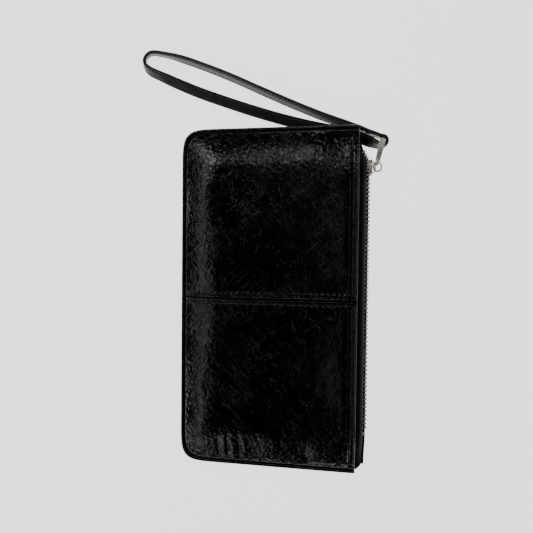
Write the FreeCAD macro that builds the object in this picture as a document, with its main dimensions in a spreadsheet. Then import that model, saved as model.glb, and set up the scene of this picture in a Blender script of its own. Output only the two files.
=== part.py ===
import FreeCAD, Part
import math
import os
import re

import Sketcher
from FreeCAD import Placement, Rotation, Vector

# Wristlet wallet, lying on its back panel.
# Millimetres. +X points from the folded spine to the zipped mouth, +Y runs along the long side
# towards the wrist strap, +Z points out of the front panel. The origin is the middle of the flat
# belly of the back panel, which rests on the table.

DIMENSIONS = {
    "panel_length": 195.0,
    "mouth_edge": 51.0,
    "spine_edge": -51.0,
    "spine_corner": 11.0,
    "mouth_corner": 2.0,
    "wallet_thickness": 16.0,
    "belly_rise": 6.5,
    "end_taper": 20.0,
    "spine_taper": 18.0,
    "rim_width": 4.5,
    "rim_gap": 0.3,
    "leather": 1.4,
    "lining": 0.5,
    "board": 0.8,
    "pivot_inset": 4.5,
    "pivot_relief": 0.9,
    "tape_thickness": 0.6,
    "tape_seam_edge": 46.5,
    "tape_leg_height": 6.2,
    "tape_mouth_gap": 0.9,
    "chain_reach": 55.9,
    "chain_top": 77.0,
    "chain_bottom": -72.0,
    "tape_top_end": 85.0,
    "tape_bottom_end": -88.0,
    "tooth_pitch": 2.3,
    "tooth_width": 0.95,
    "tooth_count": 65,
    "tooth_reach": 1.1,
    "slider_place": 73.8,
    "slider_long": 8.8,
    "slider_high": 7.6,
    "plate_thickness": 0.7,
    "bridge_reach": 2.1,
    "bridge_wire": 0.4,
    "ring_wide": 4.4,
    "ring_tall": 7.2,
    "ring_wire": 0.45,
    "ring_tilt": 35.0,
    "bail_long": 12.15,
    "bail_wide": 1.5,
    "bail_metal": 0.7,
    "bail_drop": 5.3,
    "bail_rise": 3.6,
    "bail_foot": 1.5,
    "strap_wide": 6.5,
    "strap_tube": 3.8,
    "strap_leather": 1.8,
    "eye_x": 63.3,
    "eye_y": 88.8,
    "eye_z": 5.2,
    "eye_inner": 1.5,
    "rivet_head": 2.25,
    "rivet_cap": 0.7,
    "rivet_long": 5.2,
    "rivet_slant": 0.41,
    "rivet_x": 53.0,
    "rivet_y": 95.6,
    "rivet_z": 3.8,
    "card_tier": 0.5,
    "card_step": 10.0,
    "divider": 0.8,
    "stitch_pitch": 3.1,
    "stitch_long": 2.3,
    "stitch_wide": 0.5,
    "stitch_high": 0.25,
}

# The strap's middle line, from the folded eye out along the strand that lies on the table,
# round the far end of the loop and back along the strand that stands on its edge.
STRAP_ROUTE = [
    (63.3, 86.2, 5.2),
    (57.5, 88.5, 3.9),
    (50.5, 92.3, 2.3),
    (40.0, 95.5, 1.9),
    (26.0, 98.4, 1.9),
    (9.0, 102.9, 1.9),
    (-10.0, 108.9, 1.9),
    (-28.0, 115.3, 1.9),
    (-43.0, 120.9, 1.9),
    (-56.0, 126.6, 2.0),
    (-66.5, 131.5, 2.2),
    (-75.6, 135.6, 2.6),
    (-78.2, 141.2, 3.1),
    (-73.6, 145.8, 3.5),
    (-65.8, 144.4, 3.6),
    (-55.0, 141.4, 3.6),
    (-41.0, 136.1, 3.5),
    (-24.0, 129.0, 3.4),
    (-4.0, 119.4, 3.4),
    (15.0, 110.6, 3.3),
    (32.0, 103.3, 3.2),
    (46.0, 98.3, 3.2),
    (56.0, 94.2, 4.0),
    (63.3, 91.3, 5.2),
]

ARC_SHARE = 0.45  # share of the shorter run that an arc takes at each end
SLACK = 0.05  # gap between layers that lie on each other

doc = FreeCAD.newDocument("wristlet_wallet")
sheet = doc.addObject("Spreadsheet::Sheet", "Sizes")
for row, (alias, size) in enumerate(DIMENSIONS.items(), start=1):
    sheet.set(f"A{row}", alias)
    sheet.set(f"B{row}", str(size))
    sheet.setAlias(f"B{row}", alias)
doc.recompute()

parts = []


# ---- Sheet, sketch and body helpers ---------------------------------------------------------


def bound(expression):
    """The expression with each sheet alias written out in full."""
    text = str(expression)
    return re.sub(
        r"[a-z][a-z_]+[a-z]",
        lambda found: "Sizes." + found[0] if found[0] in DIMENSIONS else found[0],
        text,
    )


def number(expression):
    """The value that an expression has now."""
    result = sheet.evalExpression(bound(expression))
    return float(getattr(result, "Value", result))


def new_body(label):
    body = doc.addObject("PartDesign::Body", label)
    body.Label = label
    parts.append(body)
    return body


def plane_of(body, role):
    return next(item for item in body.Origin.OriginFeatures if item.Role == role)


def new_sketch(body, name, role, height):
    """A sketch on one of the body's origin planes, lifted along the plane's normal."""
    sketch = body.newObject("Sketcher::SketchObject", name)
    sketch.AttachmentSupport = [(plane_of(body, role), "")]
    sketch.MapMode = "FlatFace"
    sketch.setExpression("AttachmentOffset.Base.z", bound(height))
    return sketch


def place_point(sketch, edge, end, across, up):
    """Hold an end of an edge at a place measured from the sketch's origin."""
    for kind, expression in (("DistanceX", across), ("DistanceY", up)):
        held = sketch.addConstraint(
            Sketcher.Constraint(kind, -1, 1, edge, end, number(expression))
        )
        sketch.setExpression(f"Constraints[{held}]", bound(expression))


def outline(body, name, height, spine_inset, end_inset, right, corner, mouth_corner):
    """The panel's outline: two spine corners with one radius, two mouth corners with another."""
    sketch = new_sketch(body, name, "XY_Plane", height)
    left = f"spine_edge + ({spine_inset})"
    top = f"panel_length / 2 - ({end_inset})"
    x0, x1, y1 = number(left), number(right), number(top)
    big, small = number(corner), number(mouth_corner)
    spots = [
        (x0 + big, -y1, x1 - small, -y1),
        (x1, -y1 + small, x1, y1 - small),
        (x1 - small, y1, x0 + big, y1),
        (x0, y1 - big, x0, -y1 + big),
    ]
    centres = [
        (x1 - small, -y1 + small, small, -90),
        (x1 - small, y1 - small, small, 0),
        (x0 + big, y1 - big, big, 90),
        (x0 + big, -y1 + big, big, 180),
    ]
    for (ax, ay, bx, by), (cx, cy, radius, start) in zip(spots, centres, strict=True):
        sketch.addGeometry(Part.LineSegment(Vector(ax, ay, 0), Vector(bx, by, 0)), False)
        circle = Part.Circle(Vector(cx, cy, 0), Vector(0, 0, 1), radius)
        first, last = math.radians(start), math.radians(start + 90)
        sketch.addGeometry(Part.ArcOfCircle(circle, first, last), False)
    for edge in range(8):
        following = (edge + 1) % 8
        sketch.addConstraint(Sketcher.Constraint("Tangent", edge, 2, following, 1))
    for edge, kind in ((0, "Horizontal"), (2, "Vertical"), (4, "Horizontal"), (6, "Vertical")):
        sketch.addConstraint(Sketcher.Constraint(kind, edge))
    for first, second, expression in ((1, 3, mouth_corner), (5, 7, corner)):
        held = sketch.addConstraint(Sketcher.Constraint("Radius", first, number(expression)))
        sketch.setExpression(f"Constraints[{held}]", bound(expression))
        sketch.addConstraint(Sketcher.Constraint("Equal", first, second))
    sides = (
        ("DistanceY", 0, f"-({top})"),
        ("DistanceX", 2, right),
        ("DistanceY", 4, top),
        ("DistanceX", 6, left),
    )
    for kind, edge, expression in sides:
        held = sketch.addConstraint(
            Sketcher.Constraint(kind, -1, 1, edge, 1, number(expression))
        )
        sketch.setExpression(f"Constraints[{held}]", bound(expression))
    return sketch


def polygon(body, name, role, height, corners):
    """A closed outline of straight edges, each corner held by two expressions."""
    sketch = new_sketch(body, name, role, height)
    spots = [Vector(number(across), number(up), 0) for across, up in corners]
    for index, spot in enumerate(spots):
        following = spots[(index + 1) % len(spots)]
        sketch.addGeometry(Part.LineSegment(spot, following), False)
    for index in range(len(spots)):
        following = (index + 1) % len(spots)
        sketch.addConstraint(Sketcher.Constraint("Coincident", index, 2, following, 1))
    for index, (across, up) in enumerate(corners):
        place_point(sketch, index, 1, across, up)
    return sketch


def rectangle(body, name, role, height, left, right, bottom, top):
    corners = [(left, bottom), (right, bottom), (right, top), (left, top)]
    return polygon(body, name, role, height, corners)


def pad(body, sketch, length, midplane=False):
    feature = body.newObject("PartDesign::Pad", sketch.Name + "_pad")
    feature.Profile = sketch
    feature.setExpression("Length", bound(length))
    if midplane:
        feature.SideType = "Symmetric"
    return feature


def cut_away(body, left, right, bottom, top):
    """Take away everything over and under a rectangle."""
    doc.recompute()
    before = body.Shape.Volume
    sketch = rectangle(body, body.Name + "_cut", "XY_Plane", 0, left, right, bottom, top)
    feature = body.newObject("PartDesign::Pocket", sketch.Name + "_pocket")
    feature.Profile = sketch
    feature.SideType = "Symmetric"
    feature.Type = "Length"
    feature.setExpression("Length", bound("4 * wallet_thickness"))
    doc.recompute()
    if body.Shape.Volume >= before:
        raise RuntimeError(f"the cut in {body.Label} takes nothing away")


def loft(body, kind, sections):
    feature = body.newObject(f"PartDesign::{kind}Loft", f"{body.Name}_{kind.lower()}_loft")
    feature.Profile = sections[0]
    feature.Sections = sections[1:]
    feature.Ruled = True
    return feature


def repeat(body, role, length, count):
    """Repeat the body's last feature along an origin axis, as separate solids."""
    body.AllowCompound = True
    feature = body.newObject("PartDesign::LinearPattern", body.Name + "_row")
    feature.Originals = [body.Tip]
    feature.Direction = (plane_of(body, role), [""])
    feature.setExpression("Length", bound(length))
    feature.Occurrences = int(number(count))
    feature.setExpression("Occurrences", bound(count))
    body.Tip = feature


# ---- Leather shells, boards and linings ------------------------------------------------------


def from_face(side, depth):
    """The height at a depth below the front face, or above the back one."""
    return f"wallet_thickness - ({depth})" if side == "front" else f"({depth})"


RIM_TOP = "(wallet_thickness - rim_gap) / 2"
HOLLOW = {"spine": "spine_taper + 1", "end": "end_taper + 1"}


def shell(label, side, outer, inner):
    """A shallow dish, open at the mouth: levels of (depth, spine inset, end inset, mouth edge)."""
    body = new_body(label)
    for kind, levels in (("Additive", outer), ("Subtractive", inner)):
        sections = []
        for number_in_row, (depth, spine, end, mouth) in enumerate(levels):
            sections.append(
                outline(
                    body,
                    f"{label}_{kind.lower()}_{number_in_row}",
                    from_face(side, depth),
                    spine,
                    end,
                    mouth,
                    "spine_corner",
                    "mouth_corner",
                )
            )
        loft(body, kind, sections)
    doc.recompute()
    return body


def leather_shell(label, side):
    outer = [
        ("0", "spine_taper", "end_taper", "mouth_edge"),
        ("belly_rise", "0", "0", "mouth_edge"),
        (RIM_TOP, "0", "0", "mouth_edge"),
    ]
    inner = [
        ("leather", HOLLOW["spine"], HOLLOW["end"], "mouth_edge + 10"),
        (RIM_TOP, "rim_width", "rim_width", "mouth_edge + 10"),
    ]
    return shell(label, side, outer, inner)


def make_leather():
    leather_shell("back_leather", "back")
    upper = leather_shell("front_upper_leather", "front")
    cut_away(
        upper,
        "spine_edge - 5",
        "spine_edge + pivot_inset + pivot_relief",
        "-panel_length",
        "panel_length",
    )
    upper_seam = rectangle(
        upper, "upper_seam", "XY_Plane", 0, "-100", "100", "-panel_length", "0.05"
    )
    lower = leather_shell("front_lower_leather", "front")
    cut_away(
        lower,
        "spine_edge - 5",
        "spine_edge + pivot_inset + pivot_relief",
        "-panel_length",
        "panel_length",
    )
    lower_seam = rectangle(
        lower, "lower_seam", "XY_Plane", 0, "-100", "100", "-0.05", "panel_length"
    )
    for body, sketch in ((upper, upper_seam), (lower, lower_seam)):
        feature = body.newObject("PartDesign::Pocket", sketch.Name + "_pocket")
        feature.Profile = sketch
        feature.SideType = "Symmetric"
        feature.setExpression("Length", bound("4 * wallet_thickness"))


def make_spine_binding():
    body = new_body("spine_binding")
    sketch = outline(
        body,
        "binding_outline",
        "(wallet_thickness + rim_gap) / 2",
        "0",
        "0",
        "mouth_edge",
        "spine_corner",
        "mouth_corner",
    )
    pad(body, sketch, "(wallet_thickness - rim_gap) / 2 - belly_rise")
    cut_away(
        body,
        "spine_edge + pivot_inset - 0.1",
        "mouth_edge + 10",
        "-panel_length",
        "panel_length",
    )


def flat_sheet(label, side, depth, thickness, margin):
    """A flat layer on the inside of a panel, with the panel's rounded spine corners."""
    body = new_body(label)
    level = f"({depth})" if side == "back" else f"wallet_thickness - ({depth}) - {thickness}"
    sketch = outline(
        body,
        label + "_outline",
        level,
        f"spine_taper + {margin}",
        f"end_taper + {margin}",
        "tape_seam_edge - 1.5",
        "spine_corner",
        "mouth_corner",
    )
    pad(body, sketch, thickness)


def make_layers():
    for side in ("back", "front"):
        flat_sheet(f"{side}_board", side, "leather", "board", 3)
        flat_sheet(f"{side}_lining", side, f"leather + board + {SLACK}", "lining", 3)


# ---- Pockets, divider and gussets ------------------------------------------------------------


def make_card_tiers():
    first = "leather + board + lining + 0.15"
    for tier in range(4):
        body = new_body(f"card_tier_{tier + 1}")
        sketch = rectangle(
            body,
            f"card_tier_{tier + 1}_outline",
            "XY_Plane",
            f"{first} + {tier} * (card_tier + 0.08)",
            "spine_edge + spine_taper + 5.5",
            f"tape_seam_edge - 2.5 - {tier} * card_step",
            "27.5 - panel_length / 2",
            "panel_length / 2 - 27.5",
        )
        pad(body, sketch, "card_tier")


def make_slip_pocket():
    body = new_body("slip_pocket")
    sketch = rectangle(
        body,
        "slip_pocket_outline",
        "XY_Plane",
        "wallet_thickness - leather - board - 2 * lining - 0.2",
        "spine_edge + spine_taper + 5.5",
        "tape_seam_edge - 8",
        "27.5 - panel_length / 2",
        "panel_length / 2 - 27.5",
    )
    pad(body, sketch, "lining")


def make_divider():
    body = new_body("divider_panel")
    sketch = rectangle(
        body,
        "divider_outline",
        "XY_Plane",
        "6.0",
        "spine_edge + 13",
        "tape_seam_edge - 1.5",
        "21.5 - panel_length / 2",
        "panel_length / 2 - 21.5",
    )
    pad(body, sketch, "divider")


def make_gussets():
    """Folded cloth ends: four leaves from rim to rim, the middle fold pointing outwards."""
    middle = "wallet_thickness / 2"
    rim = "panel_length / 2 - 7.6"
    inner = "panel_length / 2 - 18.5"
    outer = "panel_length / 2 - 8.8"
    folds = [
        (rim, f"{middle} - 0.45"),
        (inner, f"{middle} - 3.6"),
        (outer, middle),
        (inner, f"{middle} + 3.6"),
        (rim, f"{middle} + 0.45"),
    ]
    for label, sign in (("top_gusset", ""), ("bottom_gusset", "-1 * ")):
        body = new_body(label)
        for leaf, (start, end) in enumerate(zip(folds, folds[1:])):
            corners = [
                (f"{sign}({start[0]})", f"{start[1]} - 0.15"),
                (f"{sign}({end[0]})", f"{end[1]} - 0.15"),
                (f"{sign}({end[0]})", f"{end[1]} + 0.15"),
                (f"{sign}({start[0]})", f"{start[1]} + 0.15"),
            ]
            sketch = polygon(body, f"{label}_leaf_{leaf}", "YZ_Plane", "spine_edge + 17", corners)
            pad(body, sketch, "tape_seam_edge - 5 - spine_edge - 17")


# ---- Zip ------------------------------------------------------------------------------------


def make_tape(label, side):
    """Half of the zip tape: a leg sewn inside the panel and a wall that carries the teeth."""
    body = new_body(label)
    parted = "tape_mouth_gap + 0.7" if side == "front" else "tape_mouth_gap"
    stations = [
        ("tape_bottom_end", "mouth_edge + 0.5", "1.9", "tape_mouth_gap"),
        ("chain_bottom", "chain_reach", "tape_leg_height", "tape_mouth_gap"),
        ("slider_place + 0.4", "chain_reach", "tape_leg_height", "tape_mouth_gap"),
        ("slider_place + 1.4", "chain_reach", "tape_leg_height", parted),
        ("slider_place + slider_long / 2 + 0.3", "chain_reach", "tape_leg_height - 0.8", parted),
        ("tape_top_end", "mouth_edge + 0.5", "2.9", parted),
    ]
    sign = "" if side == "front" else "-1 * "
    half, thin = "tape_thickness / 2", "tape_thickness"
    sections = []
    for place, (along, reach, leg, gap) in enumerate(stations):
        profile = [
            ("tape_seam_edge", leg),
            (f"{reach} + {half} - 1.6", leg),
            (f"{reach} + {half}", f"{leg} - 1.6 * ({leg}) / tape_leg_height"),
            (f"{reach} + {half}", gap),
            (f"{reach} - {half}", gap),
            (f"{reach} - {half}", f"{leg} - 1.75 * ({leg}) / tape_leg_height"),
            (f"{reach} - 1.45", f"{leg} - {thin}"),
            ("tape_seam_edge", f"{leg} - {thin}"),
        ]
        corners = [
            (across, f"wallet_thickness / 2 + {sign}({up})") for across, up in profile
        ]
        sections.append(
            polygon(body, f"{label}_{place}", "XZ_Plane", f"-({along})", corners)
        )
    loft(body, "Additive", sections)


def make_teeth(label, side):
    """One side's teeth: each straddles the tape's edge, and its head reaches past the middle."""
    body = new_body(label)
    sign = "" if side == "front" else "-1 * "
    start = "chain_bottom" if side == "back" else "chain_bottom + tooth_pitch / 2"
    slot = "(tape_thickness / 2 + 0.05)"
    profile = [
        ("chain_reach - tooth_reach", "-0.1"),
        ("chain_reach + tooth_reach", "-0.1"),
        ("chain_reach + tooth_reach", "1.8"),
        (f"chain_reach + {slot}", "1.8"),
        (f"chain_reach + {slot}", "tape_mouth_gap - 0.05"),
        (f"chain_reach - {slot}", "tape_mouth_gap - 0.05"),
        (f"chain_reach - {slot}", "1.8"),
        ("chain_reach - tooth_reach", "1.8"),
    ]
    corners = [(across, f"wallet_thickness / 2 + {sign}({up})") for across, up in profile]
    sketch = polygon(body, f"{label}_profile", "XZ_Plane", f"-({start})", corners)
    pad(body, sketch, "tooth_width", midplane=True)
    count = "tooth_count" if side == "back" else "tooth_count - 1"
    repeat(body, "Y_Axis", f"({count} - 1) * tooth_pitch", count)


def make_bottom_stop():
    body = new_body("zip_bottom_stop")
    sketch = rectangle(
        body,
        "stop_section",
        "XZ_Plane",
        "-(chain_bottom - 2.4)",
        "chain_reach - 1.6",
        "chain_reach + 0.3",
        "(wallet_thickness - 1.7) / 2",
        "(wallet_thickness + 1.7) / 2",
    )
    pad(body, sketch, "1.8", midplane=True)


def make_slider():
    """Outer and inner plates, the post that joins them over the back teeth, and the bridge."""
    body = new_body("slider_body")
    middle = "wallet_thickness / 2"
    tooth = "chain_reach + tooth_reach + 0.25"
    inside = "chain_reach - tooth_reach - 0.25"
    outer = rectangle(
        body,
        "slider_outer",
        "XZ_Plane",
        "-slider_place",
        tooth,
        f"{tooth} + plate_thickness",
        f"{middle} - slider_high / 2",
        f"{middle} + slider_high / 2",
    )
    pad(body, outer, "slider_long", midplane=True)
    post = rectangle(
        body,
        "slider_post",
        "XZ_Plane",
        "-(slider_place + slider_long / 2 - 1.2)",
        f"{inside} - 0.1",
        f"{tooth} + 0.1",
        f"{middle} + 0.35",
        f"{middle} + 1.35",
    )
    pad(body, post, "1.8", midplane=True)
    inner = rectangle(
        body,
        "slider_inner",
        "XZ_Plane",
        "-slider_place",
        f"{inside} - plate_thickness",
        inside,
        f"{middle} - slider_high / 2",
        f"{middle} + slider_high / 2",
    )
    pad(body, inner, "slider_long", midplane=True)
    doc.recompute()
    bridge = polygon(
        body,
        "slider_bridge",
        "XY_Plane",
        middle,
        [
            (f"{tooth} + plate_thickness - 0.1", "slider_place - 3.4"),
            (f"{tooth} + plate_thickness + 1.3", "slider_place - 3.4"),
            (f"{tooth} + plate_thickness + bridge_reach", "slider_place - 2.4"),
            (f"{tooth} + plate_thickness + bridge_reach", "slider_place + 2.4"),
            (f"{tooth} + plate_thickness + 1.3", "slider_place + 3.4"),
            (f"{tooth} + plate_thickness - 0.1", "slider_place + 3.4"),
            (f"{tooth} + plate_thickness - 0.1", "slider_place + 2.6"),
            (f"{tooth} + plate_thickness + 1.0", "slider_place + 2.6"),
            (f"{tooth} + plate_thickness + 1.35", "slider_place + 2.2"),
            (f"{tooth} + plate_thickness + 1.35", "slider_place - 2.2"),
            (f"{tooth} + plate_thickness + 1.0", "slider_place - 2.6"),
            (f"{tooth} + plate_thickness - 0.1", "slider_place - 2.6"),
        ],
    )
    pad(body, bridge, "2 * bridge_wire", midplane=True)


# ---- Pull ring, bail and wrist strap ---------------------------------------------------------


RING_LEFT = "chain_reach + tooth_reach + 0.25 + plate_thickness + 0.65"


def make_ring():
    """An oval wire ring through the slider's bridge, its upper end leaning to the table."""
    body = new_body("pull_ring")
    path = body.newObject("Sketcher::SketchObject", "ring_path")
    path.AttachmentSupport = [(plane_of(body, "XY_Plane"), "")]
    path.MapMode = "FlatFace"
    tall, wide = number("ring_tall / 2"), number("ring_wide / 2")
    oval = Part.Ellipse(Vector(0, 0, 0), tall, wide)
    oval.rotate(Placement(Vector(0, 0, 0), Rotation(Vector(0, 0, 1), 90)))
    path.addGeometry(oval, False)
    path.addConstraint(Sketcher.Constraint("Coincident", 0, 3, -1, 1))
    path.exposeInternalGeometry(0)
    doc.recompute()
    for edge, size in ((1, "ring_tall"), (2, "ring_wide")):
        held = path.addConstraint(Sketcher.Constraint("Distance", edge, number(size)))
        path.setExpression(f"Constraints[{held}]", bound(size))
    path.addConstraint(Sketcher.Constraint("Vertical", 1))
    section = body.newObject("Sketcher::SketchObject", "ring_section")
    section.AttachmentSupport = [(plane_of(body, "XZ_Plane"), "")]
    section.MapMode = "FlatFace"
    circle = Part.Circle(Vector(-wide, 0, 0), Vector(0, 0, 1), number("ring_wire"))
    section.addGeometry(circle, False)
    place_point(section, 0, 3, "-ring_wide / 2", "0")
    held = section.addConstraint(Sketcher.Constraint("Radius", 0, number("ring_wire")))
    section.setExpression(f"Constraints[{held}]", bound("ring_wire"))
    doc.recompute()
    pipe = body.newObject("PartDesign::AdditivePipe", "ring_pipe")
    pipe.Profile = section
    pipe.Spine = (path, ["Edge1"])
    doc.recompute()
    middle = Vector(
        number(f"{RING_LEFT} + ring_wide / 2"),
        number("slider_place + 0.5"),
        number("wallet_thickness / 2"),
    )
    lean = Rotation(Vector(1, 0, 0), -number("ring_tilt"))
    body.Placement = Placement(middle, lean)
    return middle + lean.multVec(Vector(0, tall, 0))


def make_bail(ring_top):
    """A pinched metal strip: a closed bight in the strap's fold, a narrow eye round the ring."""
    body = new_body("pull_bail")
    top, low, high = "bail_long", "bail_drop", "bail_rise"
    outside = [
        ("-2.3", "-0.9"),
        ("-1.6", "-bail_foot"),
        ("1.4", "-bail_foot"),
        ("6.4", f"-{low}"),
        (top, f"-{low}"),
        (top, high),
        ("6.6", high),
        ("2.0", "bail_foot"),
        ("-1.6", "bail_foot"),
        ("-2.3", "0.9"),
    ]
    inside = [
        ("bail_metal - 2.3", "-0.7"),
        ("0.3 * bail_metal - 1.6", "bail_metal - bail_foot"),
        ("1.4 - 0.3 * bail_metal", "bail_metal - bail_foot"),
        ("6.4 - 0.3 * bail_metal", f"bail_metal - {low}"),
        (f"{top} - bail_metal", f"bail_metal - {low}"),
        (f"{top} - bail_metal", f"{high} - bail_metal"),
        ("6.6 + 0.2 * bail_metal", f"{high} - bail_metal"),
        ("2.0 + 0.2 * bail_metal", "bail_foot - bail_metal"),
        ("0.3 * bail_metal - 1.6", "bail_foot - bail_metal"),
        ("bail_metal - 2.3", "0.7"),
    ]
    solid = polygon(body, "bail_outside", "YZ_Plane", "0", outside)
    pad(body, solid, "bail_wide", midplane=True)
    doc.recompute()
    before = body.Shape.Volume
    hollow = polygon(body, "bail_inside", "YZ_Plane", "0", inside)
    cut = body.newObject("PartDesign::Pocket", "bail_pocket")
    cut.Profile = hollow
    cut.SideType = "Symmetric"
    cut.setExpression("Length", bound("2 * bail_wide"))
    doc.recompute()
    if body.Shape.Volume >= before:
        raise RuntimeError("the bail isn't hollow")
    bight = Vector(number("eye_x"), number("eye_y"), ring_top.z)
    across, along = bight.x - ring_top.x, bight.y - ring_top.y
    turn = Rotation(Vector(0, 0, 1), -math.degrees(math.atan2(across, along)))
    print("ring to bight, mm:", round(math.hypot(across, along), 2))
    body.Placement = Placement(ring_top, turn)


def make_strap_eye():
    """The folded end of the strap round the bail's bight."""
    body = new_body("strap_eye")
    thick = number("strap_leather")
    inner = number("eye_inner")
    sketch = new_sketch(body, "eye_section", "XY_Plane", "eye_z - strap_wide / 2")
    centre = Vector(number("eye_x"), number("eye_y"), 0)
    quarter = math.pi / 2
    for radius in (inner, inner + thick):
        circle = Part.Circle(centre, Vector(0, 0, 1), radius)
        sketch.addGeometry(Part.ArcOfCircle(circle, -quarter, quarter), False)
    for side in (-1, 1):
        low = Vector(centre.x, centre.y + side * inner, 0)
        high = Vector(centre.x, centre.y + side * (inner + thick), 0)
        sketch.addGeometry(Part.LineSegment(low, high), False)
    for arc, end, line, spot in (
        (0, 1, 2, 1),
        (1, 1, 2, 2),
        (0, 2, 3, 1),
        (1, 2, 3, 2),
    ):
        sketch.addConstraint(Sketcher.Constraint("Coincident", arc, end, line, spot))
    sketch.addConstraint(Sketcher.Constraint("Vertical", 2))
    sketch.addConstraint(Sketcher.Constraint("Vertical", 3))
    sketch.addConstraint(Sketcher.Constraint("Coincident", 0, 3, 1, 3))
    place_point(sketch, 0, 3, "eye_x", "eye_y")
    for arc, expression in ((0, "eye_inner"), (1, "eye_inner + strap_leather")):
        held = sketch.addConstraint(Sketcher.Constraint("Radius", arc, number(expression)))
        sketch.setExpression(f"Constraints[{held}]", bound(expression))
    for line in (2, 3):
        held = sketch.addConstraint(
            Sketcher.Constraint("DistanceX", -1, 1, line, 1, number("eye_x"))
        )
        sketch.setExpression(f"Constraints[{held}]", bound("eye_x"))
    pad(body, sketch, "strap_wide")


def make_rivet():
    """A double-cap rivet through the strap's overlapped ends, beside the folded eye."""
    post = doc.addObject("Part::Cylinder", "rivet_post")
    post.setExpression("Radius", bound("rivet_head / 2"))
    post.setExpression("Height", bound("rivet_long"))
    caps = []
    for name, level in (("rivet_front_cap", "rivet_long - rivet_cap"), ("rivet_back_cap", "0")):
        cap = doc.addObject("Part::Cylinder", name)
        cap.setExpression("Radius", bound("rivet_head"))
        cap.setExpression("Height", bound("rivet_cap"))
        cap.setExpression("Placement.Base.z", bound(level))
        caps.append(cap)
    rivet = doc.addObject("Part::MultiFuse", "strap_rivet")
    rivet.Shapes = [post, *caps]
    rivet.Label = "strap_rivet"
    along = Vector(number("rivet_slant"), 1, 0).normalize()
    middle = Vector(number("rivet_x"), number("rivet_y"), number("rivet_z"))
    start = middle - along * number("rivet_long / 2")
    rivet.Placement = Placement(start, Rotation(Vector(0, 0, 1), along))
    parts.append(rivet)


def corner_arcs(points):
    """The arc at each inner point of a route: (start, middle, end, radius)."""
    arcs = []
    for before, at, after in zip(points, points[1:], points[2:]):
        back, ahead = (before - at), (after - at)
        reach = ARC_SHARE * min(back.Length, ahead.Length)
        back.normalize()
        ahead.normalize()
        half_turn = (math.pi - back.getAngle(ahead)) / 2
        radius = reach / math.tan(half_turn)
        inward = back + ahead
        inward.normalize()
        sagitta = radius / math.cos(half_turn) - radius
        arcs.append((at + back * reach, at + inward * sagitta, at + ahead * reach, radius))
    return arcs


def make_strap():
    """The free loop of the strap, as a plain tube of the strap's section."""
    points = [Vector(*spot) for spot in STRAP_ROUTE]
    arcs = corner_arcs(points)
    edges = []
    at = points[0]
    for start, middle, end, _ in arcs:
        edges.append(Part.LineSegment(at, start).toShape())
        edges.append(Part.Arc(start, middle, end).toShape())
        at = end
    edges.append(Part.LineSegment(at, points[-1]).toShape())
    spine = Part.Wire(edges)
    radius = number("strap_tube / 2")
    heading = points[1] - points[0]
    section = Part.Wire([Part.Circle(points[0], heading, radius).toShape()])
    tube = spine.makePipeShell([section], True, True)
    wanted = math.pi * radius**2 * spine.Length
    if abs(tube.Volume - wanted) > 0.01 * wanted:
        raise RuntimeError("the strap's tube doesn't have its section times its length")
    print("strap arcs, mm:", [round(arc[3], 1) for arc in arcs])
    print("strap length, mm:", round(spine.Length, 1))
    feature = doc.addObject("Part::Feature", "wrist_strap")
    feature.Label = "wrist_strap"
    feature.Shape = tube
    parts.append(feature)


# ---- Stitching -------------------------------------------------------------------------------


def make_stitching():
    face = "wallet_thickness"
    row = new_body("mouth_stitching")
    first = "-(24 * stitch_pitch)"
    sketch = rectangle(
        row,
        "mouth_stitch",
        "XY_Plane",
        face,
        "mouth_edge - 3.6 - stitch_wide / 2",
        "mouth_edge - 3.6 + stitch_wide / 2",
        f"{first} - stitch_long / 2",
        f"{first} + stitch_long / 2",
    )
    pad(row, sketch, "stitch_high")
    repeat(row, "Y_Axis", "48 * stitch_pitch", "49")
    for label, across in (("upper_seam_stitching", "2"), ("lower_seam_stitching", "-2")):
        row = new_body(label)
        sketch = rectangle(
            row,
            label + "_stitch",
            "XY_Plane",
            face,
            "-31 - stitch_long / 2",
            "-31 + stitch_long / 2",
            f"{across} - stitch_wide / 2",
            f"{across} + stitch_wide / 2",
        )
        pad(row, sketch, "stitch_high")
        repeat(row, "X_Axis", "24 * stitch_pitch", "25")


# ---- The whole wallet ------------------------------------------------------------------------


def main():
    make_leather()
    make_spine_binding()
    make_layers()
    make_card_tiers()
    make_slip_pocket()
    make_divider()
    make_gussets()
    for side in ("back", "front"):
        make_tape(f"{side}_zip_tape", side)
        make_teeth(f"{side}_zip_teeth", side)
    make_bottom_stop()
    make_slider()
    ring_top = make_ring()
    print("ring top, mm:", ring_top)
    make_bail(ring_top)
    make_strap_eye()
    make_strap()
    make_rivet()
    make_stitching()
    doc.recompute()
    for item in doc.Objects:
        if "Invalid" in item.State or "Error" in item.State:
            raise RuntimeError(f"{item.Label} failed: {item.State}")
    os.makedirs("parts", exist_ok=True)
    for item in parts:
        if item.Shape.isNull() or not item.Shape.isValid():
            raise RuntimeError(f"{item.Label} has no valid shape")
        box = item.Shape.BoundBox
        print(
            f"{item.Label:24s} solids {len(item.Shape.Solids):3d} volume {item.Shape.Volume:9.1f}"
            f"  x {box.XMin:7.2f} {box.XMax:7.2f}  y {box.YMin:7.2f} {box.YMax:7.2f}"
            f"  z {box.ZMin:6.2f} {box.ZMax:6.2f}"
        )
        item.Shape.exportStep(f"parts/{item.Label}.step")


main()
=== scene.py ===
"""The look of a long leather wristlet wallet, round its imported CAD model. Metres, in its frame."""

import math

import bmesh
import bpy
from mathutils import Matrix, Vector, noise


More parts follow.
